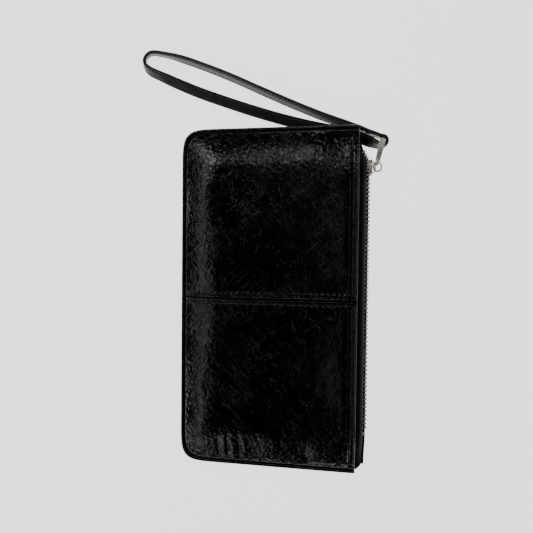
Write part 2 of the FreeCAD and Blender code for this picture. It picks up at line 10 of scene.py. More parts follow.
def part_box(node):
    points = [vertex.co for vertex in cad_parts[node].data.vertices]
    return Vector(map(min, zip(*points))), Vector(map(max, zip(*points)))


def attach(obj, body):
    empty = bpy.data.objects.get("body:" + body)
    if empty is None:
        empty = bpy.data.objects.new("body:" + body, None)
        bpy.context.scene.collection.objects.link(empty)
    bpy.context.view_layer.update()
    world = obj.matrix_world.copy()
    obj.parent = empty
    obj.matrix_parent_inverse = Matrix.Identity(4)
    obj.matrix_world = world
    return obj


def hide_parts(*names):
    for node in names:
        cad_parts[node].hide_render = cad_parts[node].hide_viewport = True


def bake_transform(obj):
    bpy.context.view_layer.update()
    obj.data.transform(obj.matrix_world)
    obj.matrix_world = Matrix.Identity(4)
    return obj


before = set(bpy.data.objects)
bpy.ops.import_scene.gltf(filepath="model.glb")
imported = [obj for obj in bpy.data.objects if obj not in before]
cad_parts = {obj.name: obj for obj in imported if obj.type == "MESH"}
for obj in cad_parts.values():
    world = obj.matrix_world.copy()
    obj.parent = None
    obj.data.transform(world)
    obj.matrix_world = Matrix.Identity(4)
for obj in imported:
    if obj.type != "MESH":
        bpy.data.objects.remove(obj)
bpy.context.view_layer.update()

MM = 0.001

# ---- Places read from the CAD model ----

BACK_LOW, BACK_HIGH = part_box("back_leather")
TEETH_LOW, TEETH_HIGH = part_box("back_zip_teeth")
TAPE_LOW, TAPE_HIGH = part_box("back_zip_tape")
SLIDER_LOW, SLIDER_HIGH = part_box("slider_body")

SPINE = BACK_LOW.x  # the folded long side
MOUTH = BACK_HIGH.x  # the long side with the zip
HALF_LONG = BACK_HIGH.y
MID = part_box("front_upper_leather")[1].z / 2  # height of the plane where the two panels meet

# ---- Shape of a panel ----

TAPER = 27 * MM  # the belly rises to its full height over this width, inside the rim
CORNER_POWER = 5.4  # squareness of the spine corners
FLANGE = 2.25 * MM  # width of the flat rim outside the stitched groove
GAP = 0.15 * MM  # from the meeting plane to a rim's inner face
RIM = 1.45 * MM  # from the meeting plane to a rim's outer face
LEATHER = 1.1 * MM  # thickness of the leather
CROWN = 0.45 * MM  # how far the rim is rounded up, and at most down
GROOVE_DEEP, GROOVE_WIDE = 0.7 * MM, 0.5 * MM  # the stitched groove
SLOPE_NARROWS = 0.24  # the share of its width that the belly's slope loses in places
ROUNDING = 0.55 * MM  # radius of the leather's outer edges
DOME = 2.0  # how round the panel is between its rim and its belly
PILLOW = 1.0 * MM  # how much more the stuffed middle of each half stands up
MOUTH_ROW = 3.5 * MM  # the mouth's stitches, from its edge
SEAM_ROW = 2.0 * MM  # the seam's stitches, from its middle
STITCH_PITCH = 3.15 * MM


def smooth(value, low, high):
    """0 below low, 1 above high, and a smooth step between."""
    t = min(max((value - low) / (high - low), 0.0), 1.0)
    return t * t * (3 - 2 * t)


def bump_at(value, place, width):
    """A soft bump of height 1 round place."""
    return math.exp(-(((value - place) / width) ** 2))


def edge_drop(distance, radius):
    """How far a rounded edge falls away, from its distance to the edge."""
    share = 1 - min(max(distance, 0.0) / radius, 1.0)
    return radius * (1 - math.sqrt(max(0.0, 1 - share * share)))


def stuffed(x, y):
    """How full the panel is, from 0 at its edges to 1 in the middle of its half."""
    across = (2 * x - SPINE - MOUTH) / (MOUTH - SPINE)
    along = (2 * abs(y) - HALF_LONG) / HALF_LONG
    return max(0.0, 1 - across * across) * max(0.0, 1 - along * along)


def rounded(across, along):
    """Distance from a corner's middle, measured so that its outline is a squarish round."""
    return (across**CORNER_POWER + along**CORNER_POWER) ** (1 / CORNER_POWER)


def inset_of(x, y):
    """How far a point is inside the rim, along the spine, the two ends and the rounded corners."""
    across = max(0.0, TAPER - (x - SPINE))
    along = max(0.0, TAPER - (HALF_LONG - abs(y)))
    return TAPER - rounded(across, along)


def wrinkle(x, y, side):
    """Slow unevenness of the leather, in millimetres."""
    spot = Vector((x * 1000 / 26, y * 1000 / 34, 3.0 * side))
    slow = noise.noise(spot) + 0.5 * noise.noise(spot * 2.3 + Vector((7, 3, 0)))
    fine = noise.noise(Vector((x * 1000 / 5.5, y * 1000 / 8.0, 11.0 * side)))
    return 0.42 * slow + 0.07 * fine


# place across the panel, depth and width, all in millimetres
END_CREASES = ((-26.5, 0.55, 1.5), (-21.2, 0.8, 1.1), (-14.8, 0.75, 1.3), (24.0, 0.4, 2.2))


def end_creases(x, y):
    """Short upright creases where the belly runs down to the lower end, in millimetres."""
    reach = smooth(-y, HALF_LONG - 26 * MM, HALF_LONG - 6 * MM)
    if reach == 0:
        return 0.0
    total = 0.0
    for place, deep, wide in END_CREASES:
        bent = place + 0.9 * noise.noise(Vector((place, y * 1000 / 9, 0)))
        total -= deep * bump_at(x * 1000, bent, wide)
        total += 0.5 * deep * bump_at(x * 1000, bent + 2.4 * wide, 1.3 * wide)
    return total * reach


def seam_relief(x, y, inset):
    """The centre seam: two folded lips with a gap between them, and a stitched dip beside each."""
    out = abs(y)
    lip = 0.42 * MM * bump_at(out, 0.75 * MM, 0.5 * MM)
    sewn = -0.38 * MM * bump_at(out, SEAM_ROW, 0.42 * MM)
    swell = 0.25 + 0.2 * math.cos(2 * math.pi * x / STITCH_PITCH)
    puff = swell * MM * bump_at(out, SEAM_ROW + 1.1 * MM, 0.8 * MM)
    fade = smooth(inset, FLANGE * 0.3, FLANGE + 1.5 * MM) * smooth(MOUTH - x, 0, 1.5 * MM)
    return fade * (lip + sewn + puff) - 0.9 * MM * bump_at(out, 0, 0.2 * MM)


def outer_height(x, y, side, seam):
    """Height of a panel's outer face above the meeting plane."""
    inset = inset_of(x, y)
    from_mouth = MOUTH - x
    crown = CROWN * (1 - ((inset - 0.5 * FLANGE) / (0.62 * FLANGE)) ** 2)
    rim = RIM + max(crown, -CROWN)
    uneven = smooth(noise.noise(Vector((x / 0.03, y / 0.038, 5.0))), -0.3, 0.35)
    wide = (TAPER - FLANGE) * (1 - SLOPE_NARROWS * uneven)
    rise = min(max((inset - FLANGE) / wide, 0.0), 1.0)
    foot = RIM - 0.1 * MM
    body = foot + (MID - foot) * (1 - (1 - rise) ** DOME)
    body += 0.75 * MM * smooth(inset, FLANGE, FLANGE + 1.3 * MM) * (1 - rise) ** 3
    inside = smooth(inset, FLANGE - 0.15 * MM, FLANGE + 0.55 * MM)
    height = rim * (1 - inside) + body * inside
    height -= GROOVE_DEEP * bump_at(inset, FLANGE, GROOVE_WIDE)
    ease = smooth(inset, FLANGE + 0.5 * MM, FLANGE + 7 * MM)
    ease *= 0.25 + 0.75 * smooth(from_mouth, 2 * MM, 9 * MM)
    creases = end_creases(x, y) if side > 0 else 0.0
    height += MM * ease * (wrinkle(x, y, side) + creases)
    row = bump_at(from_mouth, MOUTH_ROW, 0.55 * MM)
    swell = bump_at(from_mouth, MOUTH_ROW + 1.9 * MM, 1.3 * MM)
    live = smooth(inset, FLANGE + 1.0 * MM, FLANGE + 5.5 * MM)
    height += live * (-0.42 * MM * row + 0.3 * MM * swell)
    puff = 0.5 + 0.5 * math.cos(2 * math.pi * y / STITCH_PITCH)
    height += live * 0.3 * MM * puff * bump_at(from_mouth, MOUTH_ROW + 1.1 * MM, 0.75 * MM)
    height += 0.22 * MM * bump_at(from_mouth, 0.55 * MM, 0.4 * MM)
    height -= 0.2 * MM * bump_at(from_mouth, 1.5 * MM, 0.5 * MM)
    if side > 0:
        height += PILLOW * stuffed(x, y) * smooth(inset, FLANGE, FLANGE + 4 * MM)
    else:
        height = min(height, MID)  # the back lies flat on what it rests on
    if seam:
        height += seam_relief(x, y, inset)
    height -= edge_drop(inset, ROUNDING) + edge_drop(from_mouth, ROUNDING)
    return max(height, GAP + 0.35 * MM)


def inner_height(x, y, side, seam):
    """Height of a panel's inner face above the meeting plane."""
    return max(GAP, outer_height(x, y, side, seam) - LEATHER)


# ---- Mesh helpers ----


def steps(start, end, pitch):
    """Even steps from start towards end, without the end itself."""
    count = max(1, round(abs(end - start) / pitch))
    return [start + (end - start) * i / count for i in range(count)]


def chain(*stops):
    """Steps from stop to stop, and the last stop; the others are each (start, pitch in millimetres)."""
    ends = [stop[0] for stop in stops[1:-1]] + [stops[-1]]
    spans = [steps(start, end, pitch * MM) for (start, pitch), end in zip(stops, ends)]
    return sum(spans, []) + [stops[-1]]


def round_corner(x, y, margin=0.0):
    """Moves a point of a square-cornered grid, a margin inside the panel, to a round-cornered one."""
    reach = TAPER - margin
    across = max(0.0, TAPER - (x - SPINE)) / reach
    along = max(0.0, TAPER - (HALF_LONG - abs(y))) / reach
    if across == 0 or along == 0:
        return x, y
    pull = max(across, along) / rounded(across, along)
    up = HALF_LONG - TAPER + reach * along * pull
    return SPINE + TAPER - reach * across * pull, math.copysign(up, y)


FINE_RIM = 4.4 * MM  # grid lines are close together this far in from the edges


def lines_across():
    """Grid lines of a panel from its groove to its mouth, close together where there is relief."""
    return chain(
        (SPINE + FLANGE, 0.22),
        (SPINE + FINE_RIM, 0.55),
        (SPINE + TAPER, 0.8),
        (MOUTH - 8 * MM, 0.3),
        (MOUTH - 0.6 * MM, 0.12),
        MOUTH,
    )


def lines_along(start, seam):
    """Grid lines of one half of a panel, from start near its middle to its end."""
    stops = [(HALF_LONG - TAPER, 0.55), (HALF_LONG - FINE_RIM, 0.2), HALF_LONG]
    if seam:
        return chain((start, 0.22), (start + 5 * MM, 0.85), *stops)
    return chain((start, 0.85), *stops)


def new_object(name, verts, faces):
    mesh = bpy.data.meshes.new(name)
    mesh.from_pydata([tuple(v) for v in verts], [], faces)
    obj = bpy.data.objects.new(name, mesh)
    bpy.context.scene.collection.objects.link(obj)
    return obj


def finish_mesh(obj):
    """Welds doubled points, turns all faces outwards and shades them smooth."""
    build = bmesh.new()
    build.from_mesh(obj.data)
    bmesh.ops.remove_doubles(build, verts=build.verts, dist=1e-7)
    bmesh.ops.dissolve_degenerate(build, edges=build.edges, dist=1e-8)
    bmesh.ops.recalc_face_normals(build, faces=build.faces)
    build.to_mesh(obj.data)
    build.free()
    for face in obj.data.polygons:
        face.use_smooth = True
    return obj


def slab(name, xs, ys, top, under, place=None):
    """A closed sheet over a grid; top and under give its heights, and place moves a grid point."""
    across, along = len(xs), len(ys)
    spots = [place(x, y) if place else (x, y) for y in ys for x in xs]
    verts = [(x, y, top(x, y)) for x, y in spots] + [(x, y, under(x, y)) for x, y in spots]
    layer = across * along
    faces = []
    for j in range(along - 1):
        for i in range(across - 1):
            a = j * across + i
            quad = (a, a + 1, a + 1 + across, a + across)
            faces.append(quad)
            faces.append(tuple(layer + v for v in reversed(quad)))
    rim = [(j * across, (j + 1) * across) for j in range(along - 1)]
    rim += [(a + across - 1, b + across - 1) for a, b in rim]
    rim += [(i, i + 1) for i in range(across - 1)]
    rim += [(layer - across + i, layer - across + i + 1) for i in range(across - 1)]
    faces += [(a, b, layer + b, layer + a) for a, b in rim]
    return finish_mesh(new_object(name, verts, faces))


def ring_faces(size, count, closed=False):
    """Faces of a skin over rings of points, capped at both ends unless it closes on itself."""
    faces = []
    for r in range(count if closed else count - 1):
        a, b = r * size, (r + 1) % count * size
        faces += [(a + k, a + (k + 1) % size, b + (k + 1) % size, b + k) for k in range(size)]
    if not closed:
        last = (count - 1) * size
        faces += [tuple(range(size)), tuple(range(last, last + size))]
    return faces


def sweep(name, rings, closed=False):
    """One object: a skin over rings of points."""
    verts = [point for ring in rings for point in ring]
    return finish_mesh(new_object(name, verts, ring_faces(len(rings[0]), len(rings), closed)))


def circle(middle, radius, first, second, sides):
    """Points round a circle in the plane of two directions."""
    turns = [2 * math.pi * k / sides for k in range(sides)]
    return [middle + radius * (first * math.cos(turn) + second * math.sin(turn)) for turn in turns]


def joined(name, shapes):
    """One object from many (points, faces) pairs."""
    verts, faces = [], []
    for points, polygons in shapes:
        base = len(verts)
        verts += points
        faces += [tuple(base + v for v in polygon) for polygon in polygons]
    return finish_mesh(new_object(name, verts, faces))


def bevelled_block(size, bevel, segments=2):
    """Points and faces of a block with rounded edges, centred on the origin."""
    build = bmesh.new()
    bmesh.ops.create_cube(build, size=1.0)
    bmesh.ops.scale(build, vec=size, verts=build.verts)
    rounding = {"offset": bevel, "segments": segments, "profile": 0.5, "affect": "EDGES"}
    bmesh.ops.bevel(build, geom=build.edges, **rounding)
    shape = ([v.co.copy() for v in build.verts], [tuple(v.index for v in f.verts) for f in build.faces])
    build.free()
    return shape


def moved(shape, matrix):
    points, polygons = shape
    return [matrix @ p for p in points], polygons


def block(size, bevel, spot, segments=2):
    return moved(bevelled_block(size, bevel, segments), Matrix.Translation(spot))


def normal_of(before, after):
    """The direction to the left of the way between two (place, height) points."""
    run = Vector((after[0] - before[0], after[1] - before[1])).normalized()
    return Vector((-run.y, run.x))


def stitch(middle, along, up, length, thick, lift, stations=7, sides=6):
    """One visible stitch: a short fat thread that is highest in its middle and dips at its ends."""
    side = along.cross(up).normalized()
    points = []
    for i in range(stations):
        t = i / (stations - 1)
        swell = math.sin(math.pi * t)
        place = middle + along * length * (t - 0.5) + up * lift * swell
        points += circle(place, thick * (0.35 + 0.65 * swell**0.5), side, up, sides)
    return points, ring_faces(sides, stations)


def along_route(points, pitch, start=0.0, short=0.0):
    """Evenly spaced places along a chain of points, each with its direction and its segment's number."""
    total = sum((b - a).length for a, b in zip(points, points[1:]))
    reached, found, want = 0.0, [], start
    for i, (a, b) in enumerate(zip(points, points[1:])):
        run = (b - a).length
        while run > 0 and want <= reached + run and want <= total - short:
            found.append((a.lerp(b, (want - reached) / run), (b - a).normalized(), i))
            want += pitch
        reached += run
    return found


def thread_row(name, points, pitch, length, thick=0.26 * MM, lift=0.22 * MM):
    """Stitches along a chain of points that already lies on the leather."""
    shapes = []
    for middle, along, _ in along_route(points, pitch):
        up = along.cross(Vector((0, 0, 1))).normalized().cross(along)
        shapes.append(stitch(middle, along, up, length, thick, lift))
    return joined(name, shapes)


# ---- Materials ----


class Shader:
    """A node tree in the making, with the surface's coordinates in millimetres."""

    def __init__(self, name):
        self.material = bpy.data.materials.new(name)
        self.material.use_nodes = True
        self.tree = self.material.node_tree
        self.surface = self.tree.nodes["Principled BSDF"]
        coordinates = self.tree.nodes.new("ShaderNodeTexCoord").outputs["Object"]
        self.place = self.scaled(coordinates, (1000, 1000, 1000))

    def put(self, socket, value):
        """Gives a socket a plain value, or links another node's output to it."""
        if isinstance(value, bpy.types.NodeSocket):
            self.tree.links.new(value, socket)
        else:
            socket.default_value = value

    def node(self, kind, inputs, **settings):
        made = self.tree.nodes.new("ShaderNode" + kind)
        for key, value in settings.items():
            setattr(made, key, value)
        for key, value in inputs.items():
            self.put(made.inputs[key], value)
        return made

    def scaled(self, vector, scale, turn=0.0):
        inputs = {"Vector": vector, "Scale": scale, "Rotation": (0, 0, turn)}
        return self.node("Mapping", inputs).outputs[0]

    def turned(self, vector, turn):
        return self.scaled(vector, (1, 1, 1), turn)

    def math(self, operation, first, second=0.0, clamp=False):
        return self.node("Math", {0: first, 1: second}, operation=operation, use_clamp=clamp).outputs[0]

    def times(self, first, second, clamp=False):
        return self.math("MULTIPLY", first, second, clamp)

    def plus(self, first, second):
        return self.math("ADD", first, second)

    def vector(self, operation, inputs):
        return self.node("VectorMath", inputs, operation=operation).outputs[0]

    def noise(self, vector, scale, detail=2.0, rough=0.5, output="Fac"):
        inputs = {"Vector": vector, "Scale": scale, "Detail": detail, "Roughness": rough}
        return self.node("TexNoise", inputs).outputs[output]

    def ramp(self, value, low, high, start=0.0, end=1.0):
        """start where value is under low, end where it is over high."""
        inputs = {"Value": value, "From Min": low, "From Max": high, "To Min": start, "To Max": end}
        return self.node("MapRange", inputs, interpolation_type="SMOOTHSTEP").outputs["Result"]

    def warped(self, vector, scale, amount, detail=2.0):
        """The coordinates, pushed about by a noise."""
        push = self.noise(vector, scale, detail, output="Color")
        centred = self.vector("SUBTRACT", {0: push, 1: (0.5, 0.5, 0.5)})
        return self.vector("ADD", {0: vector, 1: self.vector("SCALE", {0: centred, "Scale": amount})})

    def blend(self, share, first, second):
        """A colour between first and second."""
        return self.node("Mix", {0: share, 6: first, 7: second}, data_type="RGBA").outputs[2]

    def set(self, **values):
        for key, value in values.items():
            self.put(self.surface.inputs[key.replace("_", " ")], value)

    def bump(self, height, distance):
        made = self.node("Bump", {"Height": height, "Distance": distance})
        self.tree.links.new(made.outputs[0], self.surface.inputs["Normal"])


def crackle(shader, stretch, turn, scale, width, seed):
    """Fine branching lines: 1 on a line and 0 elsewhere."""
    offset = shader.vector("ADD", {0: shader.place, 1: (seed, 2.7 * seed, 0)})
    turned = shader.scaled(shader.turned(offset, turn), stretch)
    bent = shader.warped(turned, scale * 2.2, 0.5 / scale, 4.0)
    cells = shader.node("TexVoronoi", {"Vector": bent, "Scale": scale}, feature="DISTANCE_TO_EDGE")
    return shader.ramp(cells.outputs["Distance"], 0.0, width, 1.0, 0.0)


def pull_up_leather():
    """Glossy oiled leather: near-black, with sparse paler cracks, granular wrinkles and a soft sheen."""
    shader = Shader("pull_up_leather")
    place = shader.scaled(shader.place, (1, 1, 0.3))
    shader.place = place
    upright = crackle(shader, (1.4, 0.6, 1), -0.25, 0.2, 0.04, 0.0)
    twigs = crackle(shader, (1.2, 0.7, 1), 0.5, 0.36, 0.05, 13.0)
    slanted = crackle(shader, (2.2, 0.35, 1), 0.85, 0.12, 0.022, 29.0)
    other_way = crackle(shader, (2.2, 0.35, 1), -0.75, 0.11, 0.022, 47.0)
    patches = shader.noise(place, 0.045, 2.0, 0.6)
    other = shader.noise(shader.turned(place, 1.0), 0.055, 2.0)
    broken = shader.ramp(shader.noise(place, 0.3, 3.0, 0.6), 0.48, 0.6, 0.0, 1.0)
    lines = shader.times(upright, shader.ramp(patches, 0.48, 0.62, 0.0, 1.0))
    more = shader.times(twigs, shader.ramp(other, 0.5, 0.64, 0.0, 0.8))
    lines = shader.times(shader.math("MAXIMUM", lines, more), broken)
    streaks = shader.times(slanted, shader.ramp(other, 0.36, 0.5, 0.9, 0.0))
    lines = shader.math("MAXIMUM", lines, streaks)
    streaks = shader.times(other_way, shader.ramp(patches, 0.38, 0.52, 0.8, 0.0))
    lines = shader.math("MAXIMUM", lines, streaks)
    bent = shader.warped(place, 0.35, 2.2, 3.0)
    wrinkles = shader.noise(shader.scaled(bent, (1.0, 0.6, 1.0), 0.45), 0.5, 2.0, 0.55)
    folds = shader.ramp(shader.math("ABSOLUTE", shader.math("SUBTRACT", wrinkles, 0.5)), 0.0, 0.12)
    worms = shader.noise(shader.warped(place, 0.6, 1.2), 0.5, 0.6, 0.5)
    apart = shader.node("SeparateXYZ", {0: place})
    by_spine = shader.ramp(apart.outputs["X"], -34.0, -14.0, 1.0, 0.0)
    by_end = shader.ramp(shader.math("ABSOLUTE", apart.outputs["Y"]), 58.0, 82.0)
    worms = shader.times(worms, shader.math("MAXIMUM", by_spine, by_end))
    grain = shader.noise(place, 2.2, 3.0, 0.6)
    shade = shader.noise(place, 0.09, 3.0)
    shade = shader.ramp(shade, 0.35, 0.7)
    deep = shader.blend(shade, (0.0003, 0.0005, 0.0006, 1), (0.0009, 0.0012, 0.0014, 1))
    colour = shader.blend(lines, deep, (0.045, 0.048, 0.047, 1))
    gloss = shader.ramp(shader.noise(place, 0.16, 4.0, 0.6), 0.3, 0.7, 0.16, 0.24)
    gloss = shader.plus(gloss, shader.times(lines, 0.12))
    folds = shader.times(folds, shader.ramp(patches, 0.35, 0.65, 0.5, 0.15))
    height = shader.plus(folds, shader.times(grain, 0.1))
    height = shader.plus(height, shader.times(worms, 3.0))
    height = shader.plus(height, shader.times(lines, 0.25))
    shader.set(Base_Color=colour, Roughness=gloss, Specular_IOR_Level=0.5, IOR=1.47)
    shader.set(Coat_Weight=0.05, Coat_Roughness=0.15)
    shader.bump(height, 0.13 * MM)
    return shader.material


def smooth_leather(name, colour, pale, rough):
    """Satin dressed leather with a fine even grain."""
    shader = Shader(name)
    place = shader.place
    pores = {"Vector": shader.warped(place, 1.2, 0.3), "Scale": 2.2}
    grain = shader.node("TexVoronoi", pores, feature="F1")
    fine = shader.noise(place, 3.0, 3.0)
    slow = shader.ramp(shader.noise(place, 0.2, 3.0), 0.35, 0.7)
    height = shader.plus(grain.outputs["Distance"], shader.times(fine, 0.5))
    shader.set(Base_Color=shader.blend(slow, colour, pale))
    shader.set(Roughness=shader.ramp(fine, 0.3, 0.7, rough - 0.05, rough + 0.07))
    shader.bump(height, 0.06 * MM)
    return shader.material


WAVE_PERIOD = 0.318  # about a wave texture's period at a scale of 1


def woven(name, colour, pale, pitch, slant=0.0, rough=0.85, sheen=0.1):
    """Cloth with a warp and a weft; slant turns it into a herringbone's diagonal."""
    shader = Shader(name)
    place = shader.warped(shader.place, 0.4, 0.12)
    turned = shader.turned(place, slant)
    inputs = {"Vector": turned, "Scale": WAVE_PERIOD / pitch}
    waves = [shader.node("TexWave", inputs, bands_direction=axis) for axis in "XYZ"]
    ribs, weft, sides = [wave.outputs["Fac"] for wave in waves]
    height = shader.plus(shader.times(ribs, weft), shader.times(sides, 0.4))
    fuzz = shader.noise(place, 4.0, 3.0)
    share = shader.times(height, shader.ramp(fuzz, 0.3, 0.7, 0.5, 1.0), clamp=True)
    shader.set(Base_Color=shader.blend(share, colour, pale), Roughness=rough, Specular_IOR_Level=0.2)
    shader.set(Sheen_Weight=sheen, Sheen_Roughness=0.5)
    shader.bump(height, 0.05 * MM)
    return shader.material


def thread(name, colour, pale):
    """Twisted waxed thread."""
    shader = Shader(name)
    twist = shader.node("TexWave", {"Vector": shader.turned(shader.place, 0.8), "Scale": 1.6})
    shader.set(Base_Color=shader.blend(twist.outputs["Fac"], colour, pale), Roughness=0.5)
    shader.bump(twist.outputs["Fac"], 0.05 * MM)
    return shader.material


def plated(name, colour, dark, rough):
    """Polished plated metal with darker worn patches and fine scratches."""
    shader = Shader(name)
    worn = shader.noise(shader.place, 0.9, 4.0, 0.6)
    scratch = shader.noise(shader.scaled(shader.place, (1.0, 6.0, 1.0), 0.4), 2.0, 3.0)
    share = shader.ramp(worn, 0.45, 0.75, 0.0, 0.7)
    shader.set(Base_Color=shader.blend(share, colour, dark), Metallic=1.0)
    shader.set(Roughness=shader.ramp(scratch, 0.3, 0.7, rough - 0.05, rough + 0.12))
    shader.bump(scratch, 0.01 * MM)
    return shader.material


def pressed_board():
    """Matt brown fibre board."""
    shader = Shader("pressed_board")
    fibres = shader.noise(shader.place, 0.8, 6.0, 0.7)
    share = shader.ramp(fibres, 0.35, 0.65)
    shader.set(Base_Color=shader.blend(share, (0.16, 0.13, 0.10, 1), (0.3, 0.26, 0.2, 1)), Roughness=0.9)
    shader.bump(fibres, 0.05 * MM)
    return shader.material


def plain_floor():
    """A plain pale floor that glows a little, so that it stays even."""
    shader = Shader("pale_floor")
    soft = shader.noise(shader.place, 0.01, 2.0)
    colour = shader.blend(soft, (0.90, 0.90, 0.90, 1), (0.92, 0.92, 0.92, 1))
    shader.set(Base_Color=colour, Roughness=0.9)
    shader.set(Specular_IOR_Level=0.1, Emission_Color=(1, 1, 1, 1), Emission_Strength=1.9)
    return shader.material


PULL_UP = pull_up_leather()
STRAP_LEATHER = smooth_leather(
    "strap_leather", (0.0045, 0.005, 0.0055, 1), (0.011, 0.012, 0.0125, 1), 0.36
)
POCKET_LEATHER = smooth_leather(
    "pocket_leather", (0.012, 0.0125, 0.014, 1), (0.02, 0.021, 0.023, 1), 0.5
)
LINING = woven("lining_cloth", (0.010, 0.011, 0.014, 1), (0.024, 0.026, 0.031, 1), 0.45)
GUSSET = woven("gusset_cloth", (0.008, 0.009, 0.012, 1), (0.02, 0.022, 0.027, 1), 0.4)
TAPE = woven("zip_tape_cloth", (0.004, 0.0055, 0.0075, 1), (0.012, 0.016, 0.021, 1), 0.6, 0.6, 0.8, 0.05)
THREAD = thread("waxed_thread", (0.004, 0.0045, 0.005, 1), (0.018, 0.019, 0.02, 1))
ZIP_METAL = plated("zip_metal", (0.66, 0.62, 0.54, 1), (0.33, 0.30, 0.25, 1), 0.3)
BAIL_METAL = plated("bail_metal", (0.92, 0.88, 0.81, 1), (0.55, 0.51, 0.45, 1), 0.4)
BOARD = pressed_board()


def dress(obj, material, body=None, replaces=()):
    """Gives a piece its material, the body it rides on and the CAD nodes it stands for."""
    obj.data.materials.clear()
    obj.data.materials.append(material)
    if replaces:
        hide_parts(*replaces)
    if body:
        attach(obj, body)
    return obj


def opens(obj):
    """Bakes a soft front piece's placement into its mesh, so that it rides on no body."""
    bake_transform(obj)


def dress_side(obj, material, side, replaces=()):
    """Dresses a piece of the front, side 1, which opens, or of the back, side -1, which stays."""
    dress(obj, material, None if side > 0 else "back", replaces)
    if side > 0:
        opens(obj)
    return obj


# ---- Leather panels ----


def mirrored(half):
    """Grid lines over both halves, from those of one half that start in the middle."""
    return [-y for y in reversed(half[1:])] + half


def front_panel(name, sign, node):
    """One half of the front: leather from the groove to the mouth and from the seam to the end."""
    ys = [sign * y for y in lines_along(0.05 * MM, True)]
    piece = slab(
        name,
        lines_across(),
        ys,
        lambda x, y: MID + outer_height(x, y, 1, True),
        lambda x, y: MID + inner_height(x, y, 1, False),
        round_corner,
    )
    return dress_side(piece, PULL_UP, 1, [node])


def back_panel():
    """The whole back: one plain piece from the spine's edge to the mouth."""
    piece = slab(
        "back_panel",
        steps(SPINE, SPINE + FLANGE, 0.22 * MM) + lines_across(),
        mirrored(lines_along(0.0, False)),
        lambda x, y: MID - outer_height(x, y, -1, False),
        lambda x, y: MID - inner_height(x, y, -1, False),
        round_corner,
    )
    return dress(piece, PULL_UP, "back", ["back_leather"])


def spine_edge():
    """The rim outside the groove along the spine and round its two corners."""
    piece = slab(
        "spine_edge",
        chain((SPINE, 0.2), SPINE + FLANGE),
        mirrored(lines_along(0.0, True)),
        lambda x, y: MID + outer_height(x, y, 1, True),
        lambda x, y: MID + GAP,
        round_corner,
    )
    return dress(piece, PULL_UP, "back", ["spine_binding"])


front_panel("front_panel_upper", 1, "front_upper_leather")
front_panel("front_panel_lower", -1, "front_lower_leather")
back_panel()
spine_edge()


def on_panel(x, y, side=1, seam=True, sunk=0.0):
    """The point of a panel's outer face at a place, or sunk under it."""
    return Vector((x, y, MID + side * (outer_height(x, y, side, seam) - sunk)))


STITCH_LONG = 2.2 * MM
STITCH_SUNK = 0.02 * MM


def panel_threads():
    """The mouth's row and the two rows beside the seam."""
    low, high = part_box("mouth_stitching")
    x = MOUTH - MOUTH_ROW
    route = [on_panel(x, y, sunk=STITCH_SUNK) for y in steps(low.y, high.y + MM, MM)]
    rows = [("mouth_thread", route, "mouth_stitching")]
    for half, sign in (("upper", 1), ("lower", -1)):
        spots = steps(SPINE + 6 * MM, MOUTH - 5 * MM, MM)
        route = [on_panel(x, sign * SEAM_ROW, sunk=STITCH_SUNK) for x in spots]
        rows.append((half + "_seam_thread", route, half + "_seam_stitching"))
    for name, route, node in rows:
        dress_side(thread_row(name, route, STITCH_PITCH, STITCH_LONG), THREAD, 1, [node])


def groove_row(name, spots, side):
    """Stitches in the rim's groove, along a chain of places."""
    route = [on_panel(*round_corner(x, y), side, side > 0, -0.05 * MM) for x, y in spots]
    return thread_row(name, route, STITCH_PITCH, STITCH_LONG, 0.22 * MM, 0.1 * MM)


def rim_threads():
    """Stitches in the rim's groove: those of the spine stay with the back, those of the ends open."""
    for face, side in (("front", 1), ("back", -1)):
        for end, sign in (("top", 1), ("bottom", -1)):
            xs = steps(SPINE + 3 * MM, MOUTH - 3 * MM, MM)
            spots = [(x, sign * (HALF_LONG - FLANGE)) for x in xs]
            dress_side(groove_row(f"{face}_{end}_thread", spots, side), THREAD, side)
    for name, side in (("spine_thread", 1), ("spine_back_thread", -1)):
        ends = HALF_LONG - 2.5 * MM
        spots = [(SPINE + FLANGE, y) for y in steps(-ends, ends, MM)]
        dress(groove_row(name, spots, side), THREAD, "back")


panel_threads()
rim_threads()

# ---- Zip ----

TAPE_THICK = 0.55 * MM
CHAIN_X = (TEETH_LOW.x + TEETH_HIGH.x) / 2  # the teeth's middle
SEWN_X = TAPE_LOW.x
LEG = MID - TAPE_LOW.z  # height of the tape's sewn leg above the meeting plane
CHAIN_END = TEETH_HIGH.y
TAPE_TOP = TAPE_HIGH.y + 1.5 * MM
TAPE_BOTTOM = -94.5 * MM


def tape_reach(y):
    """How far out the tape's edge runs: the chain's line, drawn in at both ends."""
    top = smooth(y, CHAIN_END + 0.5 * MM, TAPE_TOP + 1 * MM)
    low = smooth(-y, 74 * MM, 92 * MM)
    tip = smooth(-y, 90.5 * MM, -TAPE_BOTTOM + 0.6 * MM)
    return CHAIN_X - 1.2 * MM - 4.3 * MM * top**0.8 - 0.6 * MM * low - 2.4 * MM * tip**2


def tape_leg(y):
    """Height of the sewn leg: it sinks with the panel at both ends."""
    top = smooth(y, CHAIN_END - 3 * MM, TAPE_TOP)
    low = smooth(-y, 74 * MM, -TAPE_BOTTOM)
    return LEG - 3.0 * MM * top - 4.1 * MM * low


def tape_gap(y):
    """Height of the tape's edge: the two sides part above the slider."""
    return (0.55 + 0.5 * smooth(y, CHAIN_END - 1 * MM, CHAIN_END + 5 * MM)) * MM


